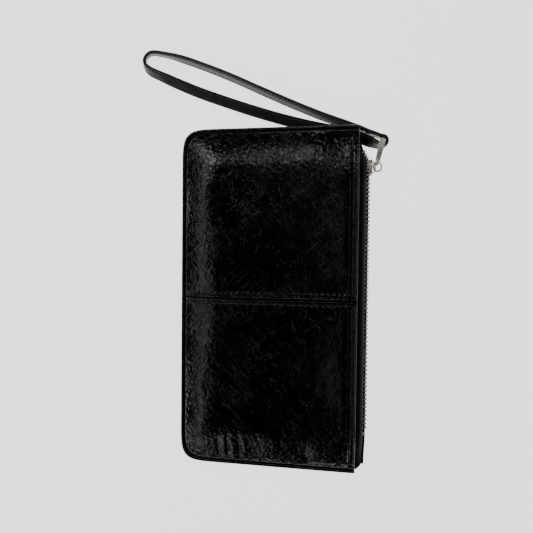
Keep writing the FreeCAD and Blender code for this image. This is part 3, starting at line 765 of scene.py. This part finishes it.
def tape_section(y, side):
    """A section of a tape: the sewn leg, a round shoulder and the wall that carries the teeth."""
    reach, leg, gap = tape_reach(y), tape_leg(y), tape_gap(y)
    round_wide = min(3.0 * MM, reach - SEWN_X - 1 * MM)
    round_high = min(3.6 * MM, leg - gap - 0.4 * MM)
    line = [(SEWN_X, leg)]
    line += [(x, leg) for x in steps(SEWN_X, reach - round_wide, 1.2 * MM)[1:]]
    for i in range(9):
        turn = math.pi / 2 * i / 8
        x = reach - round_wide + round_wide * math.sin(turn)
        line.append((x, leg - round_high * (1 - math.cos(turn))))
    foot = leg - round_high
    line += [(reach, foot + (gap - foot) * t) for t in (0.33, 0.66, 1.0)]
    outer, inner = [], []
    for i, (x, h) in enumerate(line):
        normal = normal_of(line[max(i - 1, 0)], line[min(i + 1, len(line) - 1)]) * TAPE_THICK / 2
        outer.append(Vector((x + normal.x, y, MID + side * (h + normal.y))))
        inner.append(Vector((x - normal.x, y, MID + side * (h - normal.y))))
    return outer + inner[::-1]


def resampled(rings):
    """Rings cut to the same number of points."""
    size = min(len(ring) for ring in rings)
    return [ring[: size // 2] + ring[len(ring) - size // 2 :] for ring in rings]


def tape(name, side, node):
    """One side of the zip's cloth tape."""
    ys = chain((TAPE_BOTTOM, 0.5), (-88 * MM, 1.5), (-70 * MM, 2.0), (72 * MM, 0.8), TAPE_TOP)
    piece = sweep(name, resampled([tape_section(y, side) for y in ys]))
    return dress_side(piece, TAPE, side, [node])


def tape_bead(name, side):
    """The corded edge of a tape, which the teeth are clamped to."""
    rings = []
    wide, high = Vector((0.8 * MM, 0, 0)), Vector((0, 0, 0.45 * MM))
    for y in chain((TAPE_BOTTOM + 3 * MM, 1.2), TAPE_TOP):
        middle = Vector((tape_reach(y) + 0.85 * MM, y, MID + side * (tape_gap(y) + 0.2 * MM)))
        rings.append(circle(middle, 1.0, wide, high, 8))
    piece = sweep(name, rings)
    return dress_side(piece, TAPE, side)


TOOTH_PITCH = 2.3 * MM
LOOSE_PITCH = 1.72 * MM  # along the wallet, where the parted rows lean in above the slider
TOOTH_WIDE = 1.05 * MM
TOOTH_REACH = (TEETH_HIGH.x - TEETH_LOW.x) / 2
BACK_ROW_IN = 0.3 * MM  # the back row's teeth are this much narrower on each side and further in
LOOSE_TURN = 0.55  # radians by which the loose teeth turn as the rows part


def tooth_shape(side):
    """A clamped metal tooth: a bar folded over the tape's cord, with a head and a nib."""
    high = 1.65 * MM
    reach = TOOTH_REACH if side > 0 else TOOTH_REACH - BACK_ROW_IN
    leg = (0.5 * MM, TOOTH_WIDE, high)
    leg_x, leg_z = reach - 0.25 * MM, high / 2 + 0.1 * MM
    shapes = []
    for size, bevel, x, z in (
        (leg, 0.14 * MM, -leg_x, leg_z),
        (leg, 0.14 * MM, leg_x, leg_z),
        ((2 * reach, TOOTH_WIDE, 0.5 * MM), 0.18 * MM, 0, high - 0.15 * MM),  # bar
        ((2 * reach, TOOTH_WIDE, 0.6 * MM), 0.18 * MM, 0, 0.2 * MM),  # head
        ((1.0 * MM, TOOTH_WIDE + 0.28 * MM, 0.34 * MM), 0.12 * MM, 0, 0.02 * MM),  # nib
    ):
        shapes.append(block(size, bevel, (x, 0, side * z)))
    return shapes


def teeth(name, side, node, first, count):
    """A row of teeth on the tape's edge, and the loose ones above the slider."""
    shapes = []
    pattern = tooth_shape(side)
    loose_count = int((TAPE_TOP - CHAIN_END + 0.3 * MM) / LOOSE_PITCH)
    for i in range(count + loose_count):
        y = first + i * TOOTH_PITCH
        x, lift, turn = (CHAIN_X if side > 0 else CHAIN_X - BACK_ROW_IN), 0.0, 0.0
        if i >= count:
            loose = i - count + 1
            y = first + (count - 1) * TOOTH_PITCH + loose * LOOSE_PITCH
            x = tape_reach(y) + 1.0 * MM
            lift = side * (tape_gap(y) - 0.55 * MM)
            turn = LOOSE_TURN
        matrix = Matrix.Translation((x, y, MID + lift)) @ Matrix.Rotation(turn, 4, "Z")
        shapes += [moved(shape, matrix) for shape in pattern]
    piece = joined(name, shapes)
    return dress_side(piece, ZIP_METAL, side, [node])


tape("zip_tape_front", 1, "front_zip_tape")
tape("zip_tape_back", -1, "back_zip_tape")
tape_bead("tape_cord_front", 1)
tape_bead("tape_cord_back", -1)
BACK_FIRST = TEETH_LOW.y + 0.47 * MM
BACK_COUNT = round((TEETH_HIGH.y - TEETH_LOW.y) / TOOTH_PITCH)
teeth("zip_row_back", -1, "back_zip_teeth", BACK_FIRST, BACK_COUNT)
teeth("zip_row_front", 1, "front_zip_teeth", BACK_FIRST + TOOTH_PITCH / 2, BACK_COUNT - 1)


def bottom_stop():
    """The folded metal clip that ends the zip, with two ribs."""
    low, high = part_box("zip_bottom_stop")
    middle = (low + high) / 2
    shapes = [block((2.3 * MM, 2.0 * MM, 3.0 * MM), 0.3 * MM, middle, 3)]
    for place in (-0.45, 0.45):
        spot = middle + Vector((0, place * MM, 0))
        shapes.append(block((2.5 * MM, 0.5 * MM, 3.1 * MM), 0.18 * MM, spot))
    piece = joined("zip_stop", shapes)
    return dress(piece, ZIP_METAL, "back", ["zip_bottom_stop"])


bottom_stop()

# ---- Wrist strap ----

STRAP_WIDE = 6.4 * MM
STRAP_THICK = 1.8 * MM
STRAP_ROW = 1.05 * MM  # the strap's stitches, from its edge
EYE = Vector((0.0633, 0.0888, 0.0052))  # the middle of the strap's folded end

STRAP_ROUTE = (
    (0.0633, 0.0862, 0.0052),
    (0.0575, 0.0885, 0.0039),
    (0.0505, 0.0923, 0.0023),
    (0.0400, 0.0955, 0.0019),
    (0.0260, 0.0984, 0.0019),
    (0.0090, 0.1029, 0.0019),
    (-0.0100, 0.1089, 0.0019),
    (-0.0280, 0.1153, 0.0019),
    (-0.0430, 0.1209, 0.0019),
    (-0.0560, 0.1266, 0.0020),
    (-0.0665, 0.1315, 0.0022),
    (-0.0756, 0.1356, 0.0026),
    (-0.0782, 0.1412, 0.0031),
    (-0.0736, 0.1458, 0.0035),
    (-0.0658, 0.1444, 0.0036),
    (-0.0550, 0.1414, 0.0036),
    (-0.0410, 0.1361, 0.0035),
    (-0.0240, 0.1290, 0.0034),
    (-0.0040, 0.1194, 0.0034),
    (0.0150, 0.1106, 0.0033),
    (0.0320, 0.1033, 0.0032),
    (0.0460, 0.0983, 0.0032),
    (0.0560, 0.0942, 0.0040),
    (0.0633, 0.0913, 0.0052),
)

# how far along the strap, and how far the band leans from standing on its edge, in degrees
STRAP_LEAN = (
    (0.0, 0),
    (0.012, 28),
    (0.03, 64),
    (0.05, 74),
    (0.36, 74),
    (0.42, 60),
    (0.47, 38),
    (0.50, 20),
    (0.54, 0),
    (0.60, -17),
    (0.70, -20),
    (0.80, -22),
    (0.90, -24),
    (0.95, -18),
    (0.98, -6),
    (1.0, 0),
)


def lean_at(share):
    """The band's lean, in radians, at a share of the strap's length."""
    for (a, low), (b, high) in zip(STRAP_LEAN, STRAP_LEAN[1:]):
        if share <= b:
            return math.radians(low + (high - low) * smooth(share, a, b))
    return math.radians(STRAP_LEAN[-1][1])


def spline_points(name, route):
    """Closely spaced points on the smooth line drawn by the route's control points."""
    curve = bpy.data.curves.new(name, "CURVE")
    curve.dimensions = "3D"
    curve.resolution_u = 10
    spline = curve.splines.new("NURBS")
    spline.points.add(len(route) - 1)
    for point, place in zip(spline.points, route):
        point.co = (*place, 1)
    spline.order_u = 3
    spline.use_endpoint_u = True
    line = bpy.data.objects.new(name, curve)
    bpy.context.scene.collection.objects.link(line)
    bpy.context.view_layer.update()
    mesh = bpy.data.meshes.new_from_object(line)
    points = [v.co.copy() for v in mesh.vertices]
    bpy.data.objects.remove(line)
    bpy.data.curves.remove(curve)
    bpy.data.meshes.remove(mesh)
    return points


def band_profile():
    """Half the strap's section, from edge to edge: how far across, and how thick it is there."""
    profile = []
    for i in range(25):
        u = -1 + 2 * i / 24
        out = abs(u) * STRAP_WIDE / 2
        from_edge = STRAP_WIDE / 2 - out
        thick = STRAP_THICK / 2 - edge_drop(from_edge, 0.5 * MM)
        thick += 0.06 * MM * (1 - (out / (STRAP_WIDE / 2)) ** 2)
        thick -= 0.22 * MM * bump_at(from_edge, STRAP_ROW, 0.26 * MM)
        profile.append((u * STRAP_WIDE / 2, max(thick, 0.28 * MM)))
    return profile


PROFILE = band_profile()


def band_ring(middle, across, through):
    """One section of the strap; across points up its width and through out of its face."""
    front = [middle + across * u + through * h for u, h in PROFILE]
    rear = [middle + across * u - through * h for u, h in PROFILE]
    return front + rear[::-1]


def strap_frames():
    """Each point of the strap's line with the directions across its width and out of its face."""
    points = spline_points("strap_line", STRAP_ROUTE)
    runs = [0.0]
    for a, b in zip(points, points[1:]):
        runs.append(runs[-1] + (b - a).length)
    frames = []
    for i, point in enumerate(points):
        ahead = (points[min(i + 1, len(points) - 1)] - points[max(i - 1, 0)]).normalized()
        side = ahead.cross(Vector((0, 0, 1))).normalized()
        up = side.cross(ahead)
        lean = lean_at(runs[i] / runs[-1])
        across = up * math.cos(lean) + side * math.sin(lean)
        through = ahead.cross(across).normalized()
        frames.append((point, across, through))
    return frames


def strap_threads(frames, name):
    """Four rows of stitches, near both edges of both faces, riding just above their grooves."""
    shapes = []
    for face in (-1, 1):
        for edge in (-1, 1):
            offset = edge * (STRAP_WIDE / 2 - STRAP_ROW)
            surface = face * (STRAP_THICK / 2 - 0.16 * MM)
            route = [p + a * offset + t * surface for p, a, t in frames]
            for middle, ahead, i in along_route(route, 2.45 * MM, 1.5 * MM, 1.2 * MM):
                out = frames[i][2] * face
                shapes.append(stitch(middle, ahead, out, 1.75 * MM, 0.19 * MM, 0.14 * MM, 5, 5))
    return dress(joined(name, shapes), THREAD, "strap")


def eye_frames():
    """The strap's folded end, round the bail: the band stands on its edge."""
    radius = (EYE - Vector(STRAP_ROUTE[0])).length
    frames = []
    for i in range(25):
        turn = math.pi * (i / 24 - 0.5)
        out = Vector((math.cos(turn), math.sin(turn), 0))
        frames.append((EYE + out * radius, Vector((0, 0, 1)), out))
    return frames


def strap_part(frames, name, node):
    """The leather of one stretch of the strap."""
    piece = sweep(name, [band_ring(*frame_at) for frame_at in frames])
    return dress(piece, STRAP_LEATHER, "strap", [node])


def strap_pieces():
    """The strap's loop, its folded end, their stitches and its rivet, all riding on the strap's body."""
    frames, fold = strap_frames(), eye_frames()
    band = strap_part(frames, "strap_band", "wrist_strap")
    band_thread = strap_threads(frames, "strap_thread")
    eye = strap_part(fold, "strap_fold", "strap_eye")
    fold_thread = strap_threads(fold, "fold_thread")
    rivet = strap_rivet()


def lathe(profile, sides=32):
    """Points and faces of a turned shape: (radius, height) pairs spun round Z, closed at both ends."""
    points = []
    for radius, height in profile:
        for k in range(sides):
            turn = 2 * math.pi * k / sides
            points.append(Vector((radius * math.cos(turn), radius * math.sin(turn), height)))
    return points, ring_faces(sides, len(profile))


def strap_rivet():
    """A double-cap rivet through the strap's overlapped ends: two shallow domes on one post."""
    low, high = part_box("strap_rivet")
    middle = (low + high) / 2
    along = Vector((0.41, 1, 0)).normalized()
    half = STRAP_THICK / 2 + 0.75 * MM
    cap = ((0.01, 0.8), (0.9, 0.75), (1.6, 0.58), (2.1, 0.3), (2.25, 0.1), (2.1, 0.0))
    turned = Vector((0, 0, 1)).rotation_difference(along).to_matrix().to_4x4()
    place = Matrix.Translation(middle) @ turned
    top = [(r * MM, half - 0.8 * MM + h * MM) for r, h in reversed(cap)]
    post = [(1.0 * MM, -half + 0.8 * MM), (1.0 * MM, half - 0.8 * MM)]
    bottom = [(r, -h) for r, h in reversed(top)]
    piece = joined("rivet", [moved(lathe(bottom + post + top), place)])
    return dress(piece, BAIL_METAL, "strap", ["strap_rivet"])


strap_pieces()

# ---- Slider, ring and bail ----


def shield_plate(x_low, x_high, long, high, middle):
    """A slider's plate: a shield with a broad top and a narrower tail, its edges eased."""
    points, outline = [], []
    count = 40
    for i in range(count):
        turn = 2 * math.pi * i / count
        y, z = math.cos(turn), math.sin(turn)
        y = math.copysign(abs(y) ** 0.55, y)
        z = math.copysign(abs(z) ** 0.62, z)
        waist = 1 - 0.16 * smooth(-y, 0.1, 0.9)
        outline.append((y * long / 2, z * high / 2 * waist))
    levels = ((x_low, 0.93), (x_low + 0.12 * MM, 1.0), (x_high - 0.12 * MM, 1.0), (x_high, 0.93))
    for x, share in levels:
        points += [Vector((x, middle.y + y * share, middle.z + z * share)) for y, z in outline]
    return points, ring_faces(count, len(levels))


def rod(route, radius, sides=12, flat=1.0):
    """A bar along a route of points in the plane of its bend; flat widens it across that plane."""
    points = []
    for i, point in enumerate(route):
        ahead = (route[min(i + 1, len(route) - 1)] - route[max(i - 1, 0)]).normalized()
        side = Vector((0, 0, 1)) if abs(ahead.z) < 0.9 else Vector((1, 0, 0))
        side = (side - ahead * side.dot(ahead)).normalized()
        points += circle(point, radius, flat * side, ahead.cross(side), sides)
    return points, ring_faces(sides, len(route))


BRIDGE_HALF = 3.0 * MM  # half the length of the slider's bridge


def zip_slider():
    """Two plates with flanges, the post between them and the arched bridge that holds the ring."""
    middle = Vector((0, (SLIDER_LOW.y + SLIDER_HIGH.y) / 2, (SLIDER_LOW.z + SLIDER_HIGH.z) / 2))
    long, high = SLIDER_HIGH.y - SLIDER_LOW.y, SLIDER_HIGH.z - SLIDER_LOW.z
    inner = CHAIN_X - TOOTH_REACH - 0.25 * MM
    outer = CHAIN_X + TOOTH_REACH + 0.25 * MM
    plate = 0.7 * MM
    shapes = [
        shield_plate(inner - plate, inner, long, high, middle),
        shield_plate(outer, outer + plate, long, high, middle),
    ]
    spot = ((inner + outer) / 2, middle.y + long / 2 - 1.2 * MM, MID + 0.85 * MM)
    shapes.append(block((outer - inner + 0.2 * MM, 1.8 * MM, 1.0 * MM), 0.2 * MM, spot))
    for edge in (-1, 1):
        spot = (outer - 0.25 * MM, middle.y - 0.1 * long, middle.z + edge * (high / 2 - 0.45 * MM))
        shapes.append(block((0.85 * MM, long * 0.62, 0.5 * MM), 0.15 * MM, spot))
    route = []
    foot = outer + plate - 0.15 * MM
    crown = SLIDER_HIGH.x - 0.4 * MM
    for i in range(33):
        t = -1 + 2 * i / 32
        arch = (1 - abs(t) ** 3.4) ** 0.6
        route.append(Vector((foot + (crown - foot) * arch, middle.y + BRIDGE_HALF * t, MID)))
    shapes.append(rod(route, 0.39 * MM, flat=1.35))
    for end in (-1, 1):
        spot = (foot + 0.15 * MM, middle.y + end * BRIDGE_HALF, MID)
        shapes.append(block((0.4 * MM, 1.5 * MM, 1.7 * MM), 0.18 * MM, spot))
    piece = joined("zip_slider", shapes)
    return dress(piece, ZIP_METAL, "slider", ["slider_body"])


zip_slider()


# along the bail from the ring, half its height below and above there, and half its width there, in mm
BAIL_OUTLINE = (
    (-2.2, 0.0, 0.0, 0.5),
    (-1.95, 0.8, 0.8, 0.6),
    (-1.2, 1.2, 1.2, 0.8),
    (0.5, 1.25, 1.25, 1.1),
    (1.6, 1.4, 1.35, 1.3),
    (3.2, 2.5, 1.9, 1.42),
    (5.2, 4.2, 2.8, 1.5),
    (7.2, 4.9, 3.2, 1.54),
    (9.4, 4.95, 3.25, 1.6),
    (11.2, 4.95, 3.25, 1.62),
    (11.75, 4.5, 2.8, 1.66),
    (11.8, 3.0, 1.6, 1.66),
    (11.8, 0.0, 0.0, 1.66),
)
# across the strip from edge to edge: place, and how far its surface is raised where it is flared
BAIL_RIDGES = (
    (-1, 0.22), (-0.92, 0.33), (-0.45, 0.12), (0, -0.02), (0.45, 0.12), (0.92, 0.33), (1, 0.22)
)


def rounded_loop(loop):
    """A closed loop of points made four times finer with a smooth curve through all of them."""
    finer = []
    for i, here in enumerate(loop):
        corners = (loop[i - 1], here, loop[(i + 1) % len(loop)], loop[(i + 2) % len(loop)])
        for t in (0.0, 0.25, 0.5, 0.75):
            spot = []
            for a, b, c, d in zip(*corners):
                square, cube = 2 * a - 5 * b + 4 * c - d, 3 * b - a - 3 * c + d
                spot.append(0.5 * (2 * b + (c - a) * t + square * t**2 + cube * t**3))
            finer.append(spot)
    return finer


def bail_clip():
    """A folded metal strip: pinched where it holds the ring, and flared round the strap's fold."""
    ring_low, ring_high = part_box("pull_ring")
    foot = Vector(((ring_low.x + ring_high.x) / 2 + 0.1 * MM, ring_high.y - 0.45 * MM, 0))
    foot.z = ring_low.z + 0.45 * MM
    along = (Vector((EYE.x, EYE.y, foot.z)) - foot).normalized()
    aside = Vector((along.y, -along.x, 0))
    upper = [(p * MM, up * MM, w * MM) for p, down, up, w in BAIL_OUTLINE]
    lower = [(p * MM, -down * MM, w * MM) for p, down, up, w in BAIL_OUTLINE]
    loop = rounded_loop(upper + lower[-2:0:-1])
    rings = []
    for i, (p, h, w) in enumerate(loop):
        normal = normal_of(loop[i - 1], loop[(i + 1) % len(loop)])
        flare = smooth(p, 5 * MM, 11.5 * MM)
        ring = []
        for face, edge, ridges in ((0.28, 0.1, BAIL_RIDGES), (-0.22, -0.06, BAIL_RIDGES[::-1])):
            for u, raised in ridges:
                lift = ((face if abs(u) < 0.99 else edge) + raised * 1.3 * flare) * MM
                spot = foot + along * (p + normal.x * lift) + Vector((0, 0, h + normal.y * lift))
                ring.append(spot + aside * (u * w))
        rings.append(ring)
    piece = sweep("strap_bail", rings, closed=True)
    return dress(piece, BAIL_METAL, "bail", ["pull_bail"])


bail_clip()


def pull_ring():
    """The oval wire ring, taken as it is from the CAD model."""
    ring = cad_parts["pull_ring"]
    ring.data.materials.clear()
    ring.data.materials.append(ZIP_METAL)
    for face in ring.data.polygons:
        face.use_smooth = True


pull_ring()

# ---- Inside ----


def rounded_leaf(low, high, radius):
    """Grid lines over a rectangle and the function that rounds its corners."""
    middle = (low + high) / 2
    half = (high - low) / 2

    def place(x, y):
        across = max(0.0, abs(x - middle.x) - (half.x - radius)) / radius
        along = max(0.0, abs(y - middle.y) - (half.y - radius)) / radius
        if across == 0 or along == 0:
            return x, y
        pull = max(across, along) / math.hypot(across, along)
        return (
            math.copysign(half.x - radius + radius * across * pull, x - middle.x) + middle.x,
            math.copysign(half.y - radius + radius * along * pull, y - middle.y) + middle.y,
        )

    xs = chain((low.x, 0.5), (low.x + radius, 3), (high.x - 5 * MM, 0.35), high.x)
    ys = chain((low.y, 0.5), (low.y + radius, 3), (high.y - radius, 0.5), high.y)
    return xs, ys, place


def slack(x, y):
    """A lazy wave shared by everything in one stack, so that its layers stay apart."""
    return 0.14 * MM * noise.noise(Vector((x * 1000 / 24, y * 1000 / 30, 5)))


def leaf(name, node, material, hem=0.0, face=1, radius=3 * MM):
    """A thin sheet with rounded corners; hem thickens its open edge on the side that shows."""
    low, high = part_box(node)
    xs, ys, place = rounded_leaf(low, high, radius)

    def rolled(x):
        from_edge = high.x - x
        fold = smooth(3.2 * MM - from_edge, 0, 0.5 * MM)
        groove = bump_at(from_edge, 2.3 * MM, 0.35 * MM)
        return hem * (fold - 0.5 * groove) - edge_drop(from_edge, 0.22 * MM)

    def top(x, y):
        return high.z + slack(x, y) + (rolled(x) if face > 0 else -edge_drop(high.x - x, 0.2 * MM))

    def under(x, y):
        return low.z + slack(x, y) - (rolled(x) if face < 0 else -edge_drop(high.x - x, 0.2 * MM))

    return dress(slab(name, xs, ys, top, under, place), material, None, [node])


def hem_row(name, node, face, lift):
    """Stitches along the hem of a sheet."""
    low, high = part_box(node)
    x = high.x - 2.3 * MM
    z = (high.z if face > 0 else low.z) + face * lift
    route = [Vector((x, y, z + slack(x, y))) for y in steps(low.y + 3 * MM, high.y - 3 * MM, 3 * MM)]
    row = thread_row(name, route, 2.8 * MM, 2.0 * MM, 0.16 * MM, face * 0.1 * MM)
    return dress(row, THREAD)


def lining_height(x, y, side):
    """Height of a lining's outer face: flat under the board, and following the leather round it."""
    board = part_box("front_board")[0].z if side > 0 else 2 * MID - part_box("back_board")[1].z
    under = inner_height(x, y, side, False) - 0.25 * MM
    return min(board - MID - 0.05 * MM, under)


LINING_INSET = 4.6 * MM  # from the panel's edges to the lining's


def contour_lining(name, node, side):
    """The cloth inside a panel, from the spine's groove to the mouth."""
    left, right = SPINE + TAPER, MOUTH - 5.5 * MM
    xs = chain((SPINE + LINING_INSET, 0.9), (left, 2.5), right)
    edge, flat = HALF_LONG - LINING_INSET, HALF_LONG - TAPER
    ys = chain((-edge, 0.9), (-flat, 2.5), (flat, 0.9), edge)

    def outer_face(x, y):
        return MID + side * (lining_height(x, y, side) - 0.02 * MM)

    def inner_face(x, y):
        return MID + side * (lining_height(x, y, side) - 0.48 * MM)

    piece = slab(name, xs, ys, outer_face, inner_face, lambda x, y: round_corner(x, y, LINING_INSET))
    return dress(piece, LINING, None, [node])


def inside():
    """The boards, linings and pockets, and the wall between the two sides."""
    for name, side in (("back", -1), ("front", 1)):
        board = leaf(name + "_stiffener", name + "_board", BOARD)
        lining = contour_lining(name + "_cloth", name + "_lining", side)
        if side > 0:
            opens(board)
            opens(lining)
        else:
            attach(board, "back")
            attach(lining, "back")
    for tier in (1, 2, 3, 4):
        node = f"card_tier_{tier}"
        pocket = leaf(f"card_pocket_{tier}", node, POCKET_LEATHER, 0.3 * MM, 1, 4 * MM)
        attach(pocket, "back")
        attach(hem_row(f"card_pocket_thread_{tier}", node, 1, 0.12 * MM), "back")
    pocket = leaf("note_pocket", "slip_pocket", POCKET_LEATHER, 0.3 * MM, -1, 4 * MM)
    opens(pocket)
    opens(hem_row("note_pocket_thread", "slip_pocket", -1, 0.12 * MM))
    wall = leaf("middle_wall", "divider_panel", POCKET_LEATHER, 0.25 * MM, 1, 6 * MM)
    opens(wall)
    opens(hem_row("middle_wall_thread", "divider_panel", 1, 0.08 * MM))


inside()


def gusset(name, node, sign):
    """A cloth wall folded twice like a bellows, between the two panels at one end."""
    low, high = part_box(node)
    near = min(abs(low.y), abs(high.y)) + 0.3 * MM
    far = max(abs(low.y), abs(high.y)) - 0.6 * MM
    folds = ((near, low.z + 0.2 * MM), (far, low.z + 1.7 * MM), (near + 1.5 * MM, MID))
    folds += ((far, high.z - 1.7 * MM), (near, high.z - 0.2 * MM))
    line = []
    for (y0, z0), (y1, z1) in zip(folds, folds[1:]):
        for i in range(14):
            t = i / 14
            eased = (1 - math.cos(math.pi * t)) / 2
            line.append((y0 + (y1 - y0) * eased, z0 + (z1 - z0) * t))
    line.append(folds[-1])
    rings = []
    for x in chain((low.x, 2.5), high.x):
        spine_side = smooth(x, low.x, low.x + 12 * MM)
        outer, inner = [], []
        for i, (y, z) in enumerate(line):
            normal = normal_of(line[max(i - 1, 0)], line[min(i + 1, len(line) - 1)]) * 0.17 * MM
            depth = near + (y - near) * (0.55 + 0.45 * spine_side)
            wave = 0.12 * MM * math.sin(x * 1000 / 4.5 + z * 900)
            outer.append(Vector((x, sign * (depth + normal.x + wave), z + normal.y)))
            inner.append(Vector((x, sign * (depth - normal.x + wave), z - normal.y)))
        rings.append(outer + inner[::-1])
    return dress(sweep(name, rings), GUSSET, None, [node])


top = gusset("bellows_top", "top_gusset", 1)
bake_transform(top)
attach(gusset("bellows_bottom", "bottom_gusset", -1), "back")

# ---- Floor, lights and camera ----


FLOOR_DROP = 0.6 * MM  # the floor is this far under the wallet, clear of the strap's lowest point
LIGHTS_AWAY = 0.7


def floor():
    """A pale floor, three metres wide."""
    mesh = bpy.data.meshes.new("floor")
    half = 1.5
    corners = [(-half, -half, 0), (half, -half, 0), (half, half, 0), (-half, half, 0)]
    mesh.from_pydata(corners, [], [(0, 1, 2, 3)])
    obj = bpy.data.objects.new("floor", mesh)
    obj.location.z = -FLOOR_DROP
    bpy.context.scene.collection.objects.link(obj)
    mesh.materials.append(plain_floor())


def softbox(name, toward, size, power):
    """A rectangular light that stands in one direction from the wallet and faces it."""
    light = bpy.data.lights.new(name, "AREA")
    light.shape = "RECTANGLE"
    light.size, light.size_y = size
    light.energy = power
    obj = bpy.data.objects.new(name, light)
    bpy.context.scene.collection.objects.link(obj)
    spot = Vector(toward).normalized()
    obj.location = spot * LIGHTS_AWAY + Vector((0.0, 0.02, 0.0))
    obj.rotation_euler = spot.to_track_quat("Z", "Y").to_euler()


def stage():
    """The floor, five soft lights and a faint sky."""
    floor()
    softbox("left_box", (-0.74, 0.0, 0.67), (0.9, 0.12), 0.65)
    softbox("back_box", (-0.5, 0.52, 0.69), (0.12, 0.16), 0.42)
    softbox("patch_box", (-0.03, 0.58, 0.8), (0.04, 0.32), 0.36)
    softbox("front_box", (-0.45, -0.75, 0.48), (0.4, 0.15), 0.4)
    softbox("right_box", (0.3, 0.0, 0.95), (0.8, 0.08), 0.3)
    world = bpy.data.worlds.new("studio")
    bpy.context.scene.world = world
    world.use_nodes = True
    sky = world.node_tree.nodes["Background"].inputs
    sky["Color"].default_value = (0.9, 0.95, 1.0, 1)
    sky["Strength"].default_value = 0.006


CAMERA_AT = (0.0433, 0.0257, 0.2805)
FOCAL_LENGTH = 32.42  # millimetres, on a sensor 36 mm wide


def camera():
    """A short lens above the zip's side, looking down and slightly to the left."""
    forward = Vector((-0.159, -0.027, -0.987)).normalized()
    right = forward.cross(Vector((-0.015, 1.0, -0.025))).normalized()
    up = right.cross(forward)
    turn = Matrix((right, up, -forward)).transposed()
    lens = bpy.data.cameras.new("camera")
    lens.sensor_width = 36
    lens.lens = FOCAL_LENGTH
    lens.clip_start = 0.005
    obj = bpy.data.objects.new("camera", lens)
    bpy.context.scene.collection.objects.link(obj)
    obj.matrix_world = Matrix.Translation(CAMERA_AT) @ turn.to_4x4()
    bpy.context.scene.camera = obj


stage()
camera()
